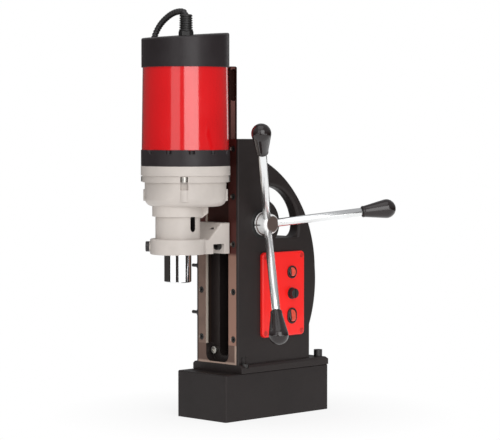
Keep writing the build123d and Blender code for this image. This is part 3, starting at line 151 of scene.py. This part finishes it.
make_camera()
make_world()
bpy.context.scene.view_settings.view_transform = "Standard"
softbox("softbox_left", 20, 3.0, 1.18, 1.35, 2.3, 1.05)
softbox("softbox_front", 61, 3.0, 1.27, 2.2, 2.3, 3.0)
softbox("softbox_low", 80, 1.5, 0.11, 1.6, 0.19, 2.6, target_z=0.13)
softbox("softbox_low_left", 5, 1.5, 0.11, 1.15, 0.19, 1.6, target_z=0.13)
softbox("softbox_top", 30, 0.9, 2.6, 2.2, 2.2, 0.9)
softbox("rim_right", 196, 2.4, 0.6, 0.4, 1.8, 0.9)


# ------------------------------------------------------------ material building blocks

class Material:
    """A principled material with helpers for its procedural nodes."""

    def __init__(self, name):
        self.data = bpy.data.materials.new(name)
        self.data.use_nodes = True
        self.tree = self.data.node_tree
        self.tree.nodes.clear()
        self.out = self.tree.nodes.new("ShaderNodeOutputMaterial")
        self.shader = self.tree.nodes.new("ShaderNodeBsdfPrincipled")
        self.tree.links.new(self.shader.outputs[0], self.out.inputs["Surface"])
        self.coords = self.tree.nodes.new("ShaderNodeTexCoord").outputs["Object"]
        self.normal = None

    def set(self, **values):
        for key, value in values.items():
            self.shader.inputs[key.replace("_", " ")].default_value = value
        return self

    def link(self, start, end):
        self.tree.links.new(start, end)

    def mapped(self, scale):
        node = self.tree.nodes.new("ShaderNodeMapping")
        node.inputs["Scale"].default_value = scale
        self.link(self.coords, node.inputs["Vector"])
        return node.outputs[0]

    def noise(self, scale, detail=3.0, rough=0.55, stretch=None, distortion=0.0):
        node = self.tree.nodes.new("ShaderNodeTexNoise")
        node.inputs["Scale"].default_value = scale
        node.inputs["Detail"].default_value = detail
        node.inputs["Roughness"].default_value = rough
        node.inputs["Distortion"].default_value = distortion
        source = self.mapped(stretch) if stretch else self.coords
        self.link(source, node.inputs["Vector"])
        return node.outputs["Fac"]

    def remap(self, value, low, high, to_low, to_high):
        node = self.tree.nodes.new("ShaderNodeMapRange")
        node.inputs["From Min"].default_value = low
        node.inputs["From Max"].default_value = high
        node.inputs["To Min"].default_value = to_low
        node.inputs["To Max"].default_value = to_high
        self.link(value, node.inputs["Value"])
        return node.outputs["Result"]

    def math(self, operation, first, second):
        node = self.tree.nodes.new("ShaderNodeMath")
        node.operation = operation
        for index, value in enumerate((first, second)):
            if isinstance(value, (int, float)):
                node.inputs[index].default_value = value
            else:
                self.link(value, node.inputs[index])
        return node.outputs[0]

    def hypotenuse(self, first, second):
        first = self.math("MULTIPLY", first, first)
        second = self.math("MULTIPLY", second, second)
        return self.math("SQRT", self.math("ADD", first, second), 0)

    def mix(self, factor, first, second):
        node = self.tree.nodes.new("ShaderNodeMix")
        node.data_type = "RGBA"
        self.link(factor, node.inputs["Factor"])
        for key, value in (("A", first), ("B", second)):
            sockets = [s for s in node.inputs if s.name == key and s.type == "RGBA"]
            if isinstance(value, (tuple, list)):
                sockets[0].default_value = (*value[:3], 1)
            else:
                self.link(value, sockets[0])
        return [s for s in node.outputs if s.type == "RGBA"][0]

    def axes(self):
        node = self.tree.nodes.new("ShaderNodeSeparateXYZ")
        self.link(self.coords, node.inputs[0])
        return node.outputs[0], node.outputs[1], node.outputs[2]

    def above(self, value, limit, soft=0.0003):
        return self.remap(value, limit - soft, limit + soft, 0.0, 1.0)

    def below(self, value, limit, soft=0.0003):
        return self.remap(value, limit - soft, limit + soft, 1.0, 0.0)

    def facing(self, axis, low, high):
        """1 where the object-space normal points along an axis, 0 elsewhere."""
        coords = self.tree.nodes.new("ShaderNodeTexCoord")
        node = self.tree.nodes.new("ShaderNodeSeparateXYZ")
        self.link(coords.outputs["Normal"], node.inputs[0])
        return self.remap(node.outputs[axis], low, high, 0.0, 1.0)

    def edges(self, radius, low=0.80, high=0.985):
        """1 on convex edges and in corners narrower than the radius, 0 on faces."""
        bevel = self.tree.nodes.new("ShaderNodeBevel")
        bevel.samples = 6
        bevel.inputs["Radius"].default_value = radius
        surface = self.tree.nodes.new("ShaderNodeNewGeometry")
        dot = self.tree.nodes.new("ShaderNodeVectorMath")
        dot.operation = "DOT_PRODUCT"
        self.link(bevel.outputs["Normal"], dot.inputs[0])
        self.link(surface.outputs["Normal"], dot.inputs[1])
        return self.remap(dot.outputs["Value"], low, high, 1.0, 0.0)

    def rounded(self, radius):
        bevel = self.tree.nodes.new("ShaderNodeBevel")
        bevel.samples = 6
        bevel.inputs["Radius"].default_value = radius
        self.normal = bevel.outputs["Normal"]

    def bump(self, height, distance, strength=1.0):
        node = self.tree.nodes.new("ShaderNodeBump")
        node.inputs["Strength"].default_value = strength
        node.inputs["Distance"].default_value = distance
        self.link(height, node.inputs["Height"])
        if self.normal is not None:
            self.link(self.normal, node.inputs["Normal"])
        self.normal = node.outputs["Normal"]

    def colour(self, socket):
        self.link(socket, self.shader.inputs["Base Color"])

    def roughness(self, socket):
        self.link(socket, self.shader.inputs["Roughness"])

    def done(self):
        if self.normal is not None:
            self.link(self.normal, self.shader.inputs["Normal"])
        return self.data


def shade(colour, factor):
    return tuple(min(1.0, channel * factor) for channel in colour)


def coated_casting(name, colour, rough=0.40, grain=1500, depth=0.00006, edge=2.0, specular=0.5,
                   machined=False, neck=False):
    """Satin powder coat on a casting, with orange peel, faint blotches and worn edges.

    It is bare where the pad at the foot of the slideway is machined, with a painted highlight along the
    pad's bottom and right-hand edges, and it has painted shade inside the gearbox's neck.
    """
    m = Material(name)
    blotch = m.noise(14, 4)
    body = m.mix(m.remap(blotch, 0.3, 0.7, 0, 1), shade(colour, 0.86), shade(colour, 1.14))
    wear = m.math("MULTIPLY", m.edges(0.0012), m.remap(m.noise(120, 3), 0.35, 0.62, 0, 1))
    body = m.mix(wear, body, shade(colour, edge))
    if machined:
        x, y, z = m.axes()
        width = m.below(m.math("ABSOLUTE", x, 0), PAD_HALF_WIDTH)
        height = m.math("MULTIPLY", m.below(z, PAD_TOP), m.above(z, PAD_BOTTOM))
        bare = m.math("MULTIPLY", m.below(y, PAD_FRONT_Y), width)
        bare = m.math("MULTIPLY", bare, height)
        # Painted highlight: the bare pad is coloured lighter along its bottom edge and its right-hand edge.
        pad_highlight = m.math("MAXIMUM", m.below(z, PAD_HIGHLIGHT_Z, 0.0010), m.above(x, PAD_HIGHLIGHT_X, 0.0010))
        metal = m.mix(pad_highlight, (0.13, 0.078, 0.06), (0.42, 0.30, 0.24))
        body = m.mix(bare, body, metal)
    # Painted shade: the bore of the gearbox's neck below its window's top is coloured near black.
    if neck:
        x, y, z = m.axes()
        across = m.math("ADD", y, -SPINDLE_Y)
        bored = m.below(m.hypotenuse(x, across), NECK_INNER_R)
        inside = m.math("MULTIPLY", bored, m.below(z, NECK_WINDOW_TOP))
        body = m.mix(inside, body, (0.010, 0.009, 0.009))
    m.colour(body)
    m.roughness(m.remap(m.noise(60, 3), 0.3, 0.7, rough - 0.05, rough + 0.07))
    m.rounded(0.0007)
    m.bump(m.noise(grain, 2), depth, 0.9)
    m.bump(m.noise(160, 2), depth * 2.5, 0.35)
    m.set(Specular_IOR_Level=specular)
    return m.done()


def gloss_paint(name, colour, rough=0.16, coat=1.0, ior=1.5):
    """Sprayed gloss paint with a clear top layer and faint orange peel."""
    m = Material(name)
    cloud = m.noise(9, 2)
    m.colour(m.mix(m.remap(cloud, 0.3, 0.7, 0, 1), shade(colour, 0.93), shade(colour, 1.05)))
    m.roughness(m.remap(m.noise(45, 3), 0.3, 0.7, rough - 0.03, rough + 0.05))
    m.rounded(0.0006)
    m.bump(m.noise(420, 2), 0.00002, 0.5)
    m.set(Coat_Weight=coat, Coat_Roughness=0.04, IOR=ior)
    return m.done()


def bare_metal(name, colour, rough, brush=(1, 1, 60), brush_depth=0.00001, metallic=1.0, stain=0.0,
               spread=0.08, shade_above=None, edge_radius=0.0003):
    """Machined or plated metal with fine directional marks, handling stains and, when asked, painted shade
    above a height.
    """
    m = Material(name)
    marks = m.noise(260, 4, stretch=brush)
    smudge = m.noise(35, 4, distortion=0.4)
    body = m.mix(m.remap(marks, 0.3, 0.7, 0, 1), shade(colour, 0.90), shade(colour, 1.08))
    if stain:
        body = m.mix(m.remap(smudge, 0.45, 0.75, 0, stain), body, (0.03, 0.02, 0.015))
    # Painted shade: above the given height the metal is coloured dark.
    if shade_above is not None:
        body = m.mix(m.above(m.axes()[2], shade_above), body, (0.03, 0.026, 0.022))
    m.colour(body)
    low = max(0.02, rough - 0.05)
    m.roughness(m.remap(m.math("ADD", marks, smudge), 0.7, 1.3, low, rough + spread))
    if edge_radius:
        m.rounded(edge_radius)
        m.bump(marks, brush_depth, 0.6)
    m.set(Metallic=metallic)
    return m.done()


def plated_rod(name, colour, rough):
    """Satin plating with only a slow change of tone and gloss along it."""
    m = Material(name)
    tone = m.noise(28, 2)
    m.colour(m.mix(m.remap(tone, 0.3, 0.7, 0, 1), shade(colour, 0.95), shade(colour, 1.03)))
    m.roughness(m.remap(m.noise(17, 2), 0.3, 0.7, rough - 0.03, rough + 0.04))
    m.set(Metallic=1.0)
    return m.done()


def hub_metal(name, colour, front, rough):
    """Turned hub coloured nearly white as a painted reflection, with painted shade on the face that looks
    outwards.
    """
    m = Material(name)
    tone = m.noise(60, 2)
    body = m.mix(m.remap(tone, 0.3, 0.7, 0, 1), shade(colour, 0.94), shade(colour, 1.04))
    # Painted shade on the faces whose normal points outwards along the crank's axis
    m.colour(m.mix(m.facing(0, 0.80, 0.92), body, front))
    m.roughness(m.remap(m.noise(90, 2), 0.3, 0.7, rough - 0.03, rough + 0.05))
    m.set(Metallic=0.15)
    return m.done()


def gib_metal(name, colour, rough):
    """Oiled gib strip with dark smudges: brown, lighter on the right-hand strip as a painted reflection,
    darker above a set height and on faces set back from the front, with a painted highlight on the front of
    the side faces that look along +X.
    """
    m = Material(name)
    marks = m.noise(260, 4, stretch=(30, 30, 1))
    body = m.mix(m.remap(marks, 0.3, 0.7, 0, 1), shade(colour, 0.85), shade(colour, 1.12))
    smudge = m.noise(35, 4, distortion=0.4)
    body = m.mix(m.remap(smudge, 0.5, 0.8, 0, 0.5), body, (0.05, 0.032, 0.026))
    x, y, z = m.axes()
    # Painted reflection: the right-hand strip is coloured lighter.
    body = m.mix(m.above(x, 0.0), body, (0.36, 0.20, 0.15))
    # Darker above a set height.
    body = m.mix(m.above(z, GIB_DARKER_Z, 0.002), body, (0.085, 0.022, 0.018))
    body = m.mix(m.above(y, GIB_FRONT_Y), body, (0.045, 0.028, 0.022))
    # Painted highlight on the front part of the side faces that look along +X.
    lit_side = m.math("MULTIPLY", m.facing(0, 0.85, 0.95), m.below(y, GIB_FRONT_Y))
    m.colour(m.mix(lit_side, body, (0.80, 0.70, 0.60)))
    m.roughness(m.remap(marks, 0.3, 0.7, rough - 0.05, rough + 0.08))
    m.rounded(0.0003)
    m.bump(marks, 0.00003, 0.6)
    m.set(Metallic=0.55)
    return m.done()


def lens_plastic(name, colour, dark):
    """Glossy rocker: translucent red on the side where the light falls, and painted shade on the other
    side.
    """
    m = Material(name)
    y = m.axes()[1]
    tone = m.mix(m.remap(m.noise(300, 2), 0.3, 0.7, 0, 1), shade(colour, 0.85), shade(colour, 1.15))
    # Painted shade: the rocker is coloured dark below a set y, and red on the side that catches the light.
    m.colour(m.mix(m.below(y, ROCKER_SHADE_EDGE_Y, 0.0006), tone, dark))
    m.roughness(m.remap(m.noise(200, 2), 0.3, 0.7, 0.10, 0.20))
    m.rounded(0.0004)
    m.set(Coat_Weight=1.0, Coat_Roughness=0.04)
    return m.done()


def moulded_plastic(name, colour, rough, grain=2600, depth=0.00002, coat=0.0, coat_rough=0.1):
    """Injection-moulded plastic with a fine spark-eroded grain and slightly shiny worn edges."""
    m = Material(name)
    tone = m.noise(25, 3)
    body = m.mix(m.remap(tone, 0.3, 0.7, 0, 1), shade(colour, 0.88), shade(colour, 1.12))
    m.colour(m.mix(m.edges(0.0006), body, shade(colour, 1.6)))
    m.roughness(m.remap(m.noise(80, 3), 0.3, 0.7, rough - 0.04, rough + 0.06))
    m.rounded(0.0004)
    m.bump(m.noise(grain, 2), depth, 0.7)
    m.set(Coat_Weight=coat, Coat_Roughness=coat_rough)
    return m.done()


MATS = {}
MATS["charcoal_paint"] = coated_casting(
    "charcoal_paint", (0.019, 0.0142, 0.0135), 0.42, specular=0.28, machined=True,
)
MATS["magnet_paint"] = coated_casting(
    "magnet_paint", (0.015, 0.0112, 0.0108), 0.40, grain=1900, specular=0.26,
)
MATS["cap_black"] = coated_casting(
    "cap_black", (0.021, 0.0165, 0.018), 0.36, grain=2400, depth=0.00003, specular=0.34,
)
MATS["gearbox_grey"] = coated_casting(
    "gearbox_grey", (0.56, 0.51, 0.47), 0.40, grain=900, depth=0.00007, edge=1.2, neck=True,
)
MATS["motor_red"] = gloss_paint("motor_red", (0.68, 0.006, 0.009))
MATS["panel_red"] = gloss_paint("panel_red", (0.95, 0.008, 0.005), rough=0.38, coat=0.15)
# Dark steel for the shaft bearings: painted shade in the hollow of the gearbox's neck
MATS["bearing_shade_steel"] = bare_metal("bearing_shade_steel", (0.06, 0.055, 0.05), 0.35)
MATS["painted_screws"] = gloss_paint("painted_screws", (0.62, 0.014, 0.010), rough=0.35, coat=0.2)
# Chrome, with painted shade above a set height, where the spindle sits in the gearbox's neck
MATS["chrome"] = bare_metal(
    "chrome", (0.86, 0.87, 0.88), 0.07, spread=0.02, shade_above=SPINDLE_SHADE_Z, edge_radius=0,
)
MATS["rod_chrome"] = plated_rod("rod_chrome", (0.90, 0.91, 0.91), 0.24)
# Crank hub: nearly white as a painted reflection of bright metal, with painted shade on its outer face
MATS["hub_painted_light"] = hub_metal("hub_painted_light", (0.97, 0.97, 0.96), (0.10, 0.07, 0.06), 0.30)
MATS["shaft_steel"] = bare_metal("shaft_steel", (0.50, 0.49, 0.48), 0.26)
MATS["zinc_steel"] = bare_metal("zinc_steel", (0.58, 0.56, 0.52), 0.30, brush=(1, 1, 1))
MATS["black_oxide"] = bare_metal(
    "black_oxide", (0.045, 0.043, 0.042), 0.34, brush=(1, 1, 1), metallic=0.7,
)
MATS["slide_steel"] = bare_metal(
    "slide_steel", (0.060, 0.022, 0.018), 0.36, brush=(40, 40, 1), metallic=0.85, stain=0.5,
)
# Gib strips, with a painted reflection on the right-hand strip and a painted highlight on their side faces
MATS["bronze"] = gib_metal("bronze", (0.22, 0.145, 0.115), 0.42)
MATS["lamination"] = bare_metal("lamination", (0.30, 0.30, 0.31), 0.38, brush=(1, 1, 40))
MATS["copper_winding"] = bare_metal(
    "copper_winding", (0.55, 0.22, 0.09), 0.35, brush=(1, 1, 30), brush_depth=0.0001,
)
MATS["black_plastic"] = moulded_plastic("black_plastic", (0.016, 0.015, 0.015), 0.42)
MATS["resin"] = moulded_plastic("resin", (0.05, 0.045, 0.04), 0.5)
MATS["board_green"] = moulded_plastic("board_green", (0.03, 0.12, 0.05), 0.5)
MATS["carbon"] = moulded_plastic("carbon", (0.03, 0.03, 0.03), 0.6)
MATS["grip_black"] = moulded_plastic(
    "grip_black", (0.012, 0.007, 0.007), 0.17, coat=0.25, coat_rough=0.05,
)
# Rocker lenses, with painted shade on the side away from the light
MATS["red_lens"] = lens_plastic("red_lens", (0.74, 0.085, 0.050), (0.020, 0.010, 0.010))
MATS["lead_sheath"] = moulded_plastic("lead_sheath", (0.020, 0.018, 0.019), 0.38)

FINISHES = {part["node"]: part["material_slot"] for part in frame["record"]["subparts"]}
FINISHES.update(dict.fromkeys(("crank_arm_1", "crank_arm_2", "crank_arm_3"), "rod_chrome"))
FINISHES["crank_hub"] = "hub_painted_light"
FINISHES["panel_screws"] = "painted_screws"
# The bearings take the dark steel, painted shade seen through the neck's window
FINISHES["shaft_bearings"] = "bearing_shade_steel"
for name, finish in FINISHES.items():
    NODES[name].data.materials.clear()
    NODES[name].data.materials.append(MATS[finish])


# ------------------------------------------------------------ mesh helpers

def piece(name, verts, faces, slot, body=None, sharp=35.0):
    """A mesh object with a finish, riding on a CAD body."""
    data = bpy.data.meshes.new(name)
    data.from_pydata([tuple(v) for v in verts], [], faces)
    data.update()
    data.materials.append(MATS[slot])
    obj = bpy.data.objects.new(name, data)
    bpy.context.scene.collection.objects.link(obj)
    data.polygons.foreach_set("use_smooth", [True] * len(data.polygons))
    data.set_sharp_from_angle(angle=math.radians(sharp))
    if body:
        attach(obj, body)
    return obj


def lathe_mesh(profile, origin, direction, segments=96):
    """Vertices and faces of a surface of revolution. The profile is (radius, height) in mm."""
    axis = Vector(direction).normalized()
    side = axis.orthogonal().normalized()
    other = axis.cross(side)
    verts, faces, rings = [], [], []
    for radius, height in profile:
        centre = Vector(origin) + axis * height * MM
        if radius < 1e-6:
            rings.append([len(verts)])
            verts.append(centre)
            continue
        ring = []
        for index in range(segments):
            turn = 2 * math.pi * index / segments
            ring.append(len(verts))
            verts.append(centre + (side * math.cos(turn) + other * math.sin(turn)) * radius * MM)
        rings.append(ring)
    for low, high in zip(rings, rings[1:]):
        for index in range(segments):
            after = (index + 1) % segments
            if len(low) == 1 and len(high) == 1:
                continue
            if len(low) == 1:
                faces.append((low[0], high[after], high[index]))
            elif len(high) == 1:
                faces.append((low[index], low[after], high[0]))
            else:
                faces.append((low[index], low[after], high[after], high[index]))
    return verts, faces


def merged(*meshes):
    """Several meshes joined into one list of vertices and faces."""
    verts, faces = [], []
    for more_verts, more_faces in meshes:
        start = len(verts)
        verts.extend(more_verts)
        faces.extend(tuple(start + index for index in face) for face in more_faces)
    return verts, faces


def arc(centre_r, centre_h, radius, first, last, steps):
    """Points of an arc in a lathe profile, angles in degrees from the radial direction."""
    points = []
    for index in range(steps + 1):
        turn = math.radians(first + (last - first) * index / steps)
        points.append((centre_r + radius * math.cos(turn), centre_h + radius * math.sin(turn)))
    return points


# ------------------------------------------------------------ motor lead

LEAD_POINTS = (
    (0, -107, 450), (0, -107, 459.2), (-10, -107, 461.5), (-25, -107, 458.8), (-44.5, -106.5, 447.5),
    (-57, -105.5, 430), (-60, -103.5, 407), (-60, -99.5, 382), (-60, -94, 356), (-61.5, -86, 331),
    (-64, -75, 306), (-68, -60, 283), (-73.5, -43, 261), (-79, -25, 241), (-84, -8, 219), (-87, 5, 196),
    (-85, 12.5, 175), (-76.5, 14, 156.5), (-61, 14, 146.5), (-44, 14, 146.5),
)
LEAD_R = 3.6
LEAD_RIB_DEPTH = 0.75
LEAD_RIB_PITCH = 0.0036
LEAD_STEP = 0.00045


def spline_points(route, resolution=16):
    """Points along a smooth NURBS line through the route's control points."""
    curve = bpy.data.curves.new("route", "CURVE")
    curve.dimensions = "3D"
    curve.resolution_u = resolution
    spline = curve.splines.new("NURBS")
    spline.points.add(len(route) - 1)
    for point, place in zip(spline.points, route):
        point.co = (place[0] * MM, place[1] * MM, place[2] * MM, 1)
    spline.order_u = 3
    spline.use_endpoint_u = True
    holder = bpy.data.objects.new("route", curve)
    bpy.context.scene.collection.objects.link(holder)
    bpy.context.view_layer.update()
    line = bpy.data.meshes.new_from_object(holder)
    points = [v.co.copy() for v in line.vertices]
    bpy.data.objects.remove(holder)
    bpy.data.curves.remove(curve)
    bpy.data.meshes.remove(line)
    return points


def resampled(points, step):
    """The same line at an even step, with its end points kept."""
    lengths = [0.0]
    for first, second in zip(points, points[1:]):
        lengths.append(lengths[-1] + (second - first).length)
    count = max(2, round(lengths[-1] / step))
    out, index = [], 0
    for number in range(count + 1):
        target = lengths[-1] * number / count
        while index < len(lengths) - 2 and lengths[index + 1] < target:
            index += 1
        span = max(1e-9, lengths[index + 1] - lengths[index])
        out.append(points[index].lerp(points[index + 1], min(1.0, (target - lengths[index]) / span)))
    return out


def ribbed_tube(name, points, outer, inner, pitch, slot, around=24):
    """A conduit along a line, its radius going in and out once each pitch."""
    verts, faces = [], []
    tangent = (points[1] - points[0]).normalized()
    side = tangent.orthogonal().normalized()
    travelled = 0.0
    for index, place in enumerate(points):
        before = points[max(0, index - 1)]
        after = points[min(len(points) - 1, index + 1)]
        ahead = (after - before).normalized()
        side = (tangent.rotation_difference(ahead) @ side).normalized()
        tangent = ahead
        other = tangent.cross(side)
        if index:
            travelled += (place - before).length
        wave = 0.5 + 0.5 * math.cos(2 * math.pi * travelled / pitch)
        radius = (inner + (outer - inner) * min(1.0, wave * 1.5)) * MM
        for number in range(around):
            turn = 2 * math.pi * number / around
            verts.append(place + (side * math.cos(turn) + other * math.sin(turn)) * radius)
    for ring in range(len(points) - 1):
        for number in range(around):
            low = ring * around + number
            high = ring * around + (number + 1) % around
            faces.append((low, high, high + around, low + around))
    faces.append(tuple(range(around - 1, -1, -1)))
    last = (len(points) - 1) * around
    faces.append(tuple(last + number for number in range(around)))
    return piece(name, verts, faces, slot, sharp=60)


lead_line = resampled(spline_points(LEAD_POINTS), LEAD_STEP)
lead = ribbed_tube(
    "motor_lead_conduit", lead_line, LEAD_R, LEAD_R - LEAD_RIB_DEPTH, LEAD_RIB_PITCH, "lead_sheath",
)
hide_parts("motor_lead")
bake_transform(lead)


# ------------------------------------------------------------ crank rods and grips, and cap gland

ARM_TILT = 27.7
ARM_ANGLES = (7.0, 127.0, 247.0)
CRANK_ROOT = (0.042, -0.0205, 0.2215)


def crank_direction(angle):
    """The way a crank rod points, tilted outwards from the crank's plane."""
    tilt = math.radians(ARM_TILT)
    turn = math.radians(angle)
    return Vector((math.sin(tilt), math.cos(tilt) * math.cos(turn), math.cos(tilt) * math.sin(turn)))


# Profiles of turned pieces as (radius, height) in millimetres
GRIP_PROFILE = [(0, 116.2), (5.2, 116.2), (5.4, 115.6), (6.0, 115.5), (6.5, 115.9), (6.7, 116.7)]
GRIP_PROFILE += [(6.6, 117.5), (6.55, 118.2), (7.4, 123.5), (8.7, 131.0), (9.8, 137.5)]
GRIP_PROFILE += arc(0, 145.49, 10.98, -10, 89, 22) + [(0, 156.47)]

ROD_PROFILE = [(0, 5.0), (4.3, 5.0), (4.7, 5.4), (4.7, 133.0), (4.3, 133.4), (0, 133.4)]

for number, angle in enumerate(ARM_ANGLES, start=1):
    mesh = lathe_mesh(ROD_PROFILE, CRANK_ROOT, crank_direction(angle), 72)
    rod = piece("crank_arm_{}_rod".format(number), *mesh, "chrome", "crank", sharp=50)
    rod.data.materials[0] = MATS["rod_chrome"]
    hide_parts("crank_arm_{}".format(number))
    mesh = lathe_mesh(GRIP_PROFILE, CRANK_ROOT, crank_direction(angle))
    grip = piece("crank_grip_{}_moulding".format(number), *mesh, "grip_black", "crank", sharp=50)
    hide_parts("crank_grip_{}".format(number))

NUT_PROFILE = [(3.7, 433.0), (7.9, 433.0), (8.4, 433.5), (8.4, 438.0), (7.7, 438.8), (3.7, 438.8)]
SLEEVE_PROFILE = [(3.7, 438.5), (7.6, 438.5), (7.8, 438.8), (7.8, 440.2), (7.5, 440.6)]
for rib in range(6):
    base = 440.8 + rib * 2.6
    wide = 7.5 - rib * 0.05
    SLEEVE_PROFILE += [(wide - 1.1, base), (wide - 1.1, base + 0.8), (wide, base + 1.0), (wide, base + 2.4)]
SLEEVE_PROFILE += [(6.6, 456.7), (6.0, 457.2), (4.4, 457.3), (3.75, 456.9), (3.7, 455.0)]
gland = piece(
    "cap_gland_relief",
    *merged(
        lathe_mesh(NUT_PROFILE, (0, -0.107, 0), (0, 0, 1), 6),
        lathe_mesh(SLEEVE_PROFILE, (0, -0.107, 0), (0, 0, 1), 64),
    ),
    "black_plastic", "carriage", sharp=30,
)
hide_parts("cap_gland")


# ------------------------------------------------------------ floor

FLOOR_R = 1.3


def make_floor():
    """A white disc that takes a soft contact shadow and fades to the backdrop's white."""
    m = Material("studio_floor")
    m.colour(m.mix(m.remap(m.noise(2, 2), 0.3, 0.7, 0, 1), (0.88, 0.88, 0.88), (0.92, 0.92, 0.92)))
    m.set(Roughness=0.9)
    m.shader.inputs["Specular IOR Level"].default_value = 0.1
    x, y = m.axes()[:2]
    reach = m.hypotenuse(x, y)
    glow = m.tree.nodes.new("ShaderNodeEmission")
    glow.inputs["Color"].default_value = (1, 1, 1, 1)
    glow.inputs["Strength"].default_value = 1.0
    blend = m.tree.nodes.new("ShaderNodeMixShader")
    m.link(m.remap(reach, 0.09, 0.24, 0.84, 1.0), blend.inputs["Fac"])
    m.link(m.shader.outputs[0], blend.inputs[1])
    m.link(glow.outputs[0], blend.inputs[2])
    m.link(blend.outputs[0], m.out.inputs["Surface"])
    data = bpy.data.meshes.new("studio_floor")
    steps = 96
    turns = [2 * math.pi * index / steps for index in range(steps)]
    rim = [(FLOOR_R * math.cos(turn), FLOOR_R * math.sin(turn), 0) for turn in turns]
    data.from_pydata(rim, [], [tuple(range(steps))])
    data.materials.append(m.done())
    floor = bpy.data.objects.new("studio_floor", data)
    bpy.context.scene.collection.objects.link(floor)


make_floor()
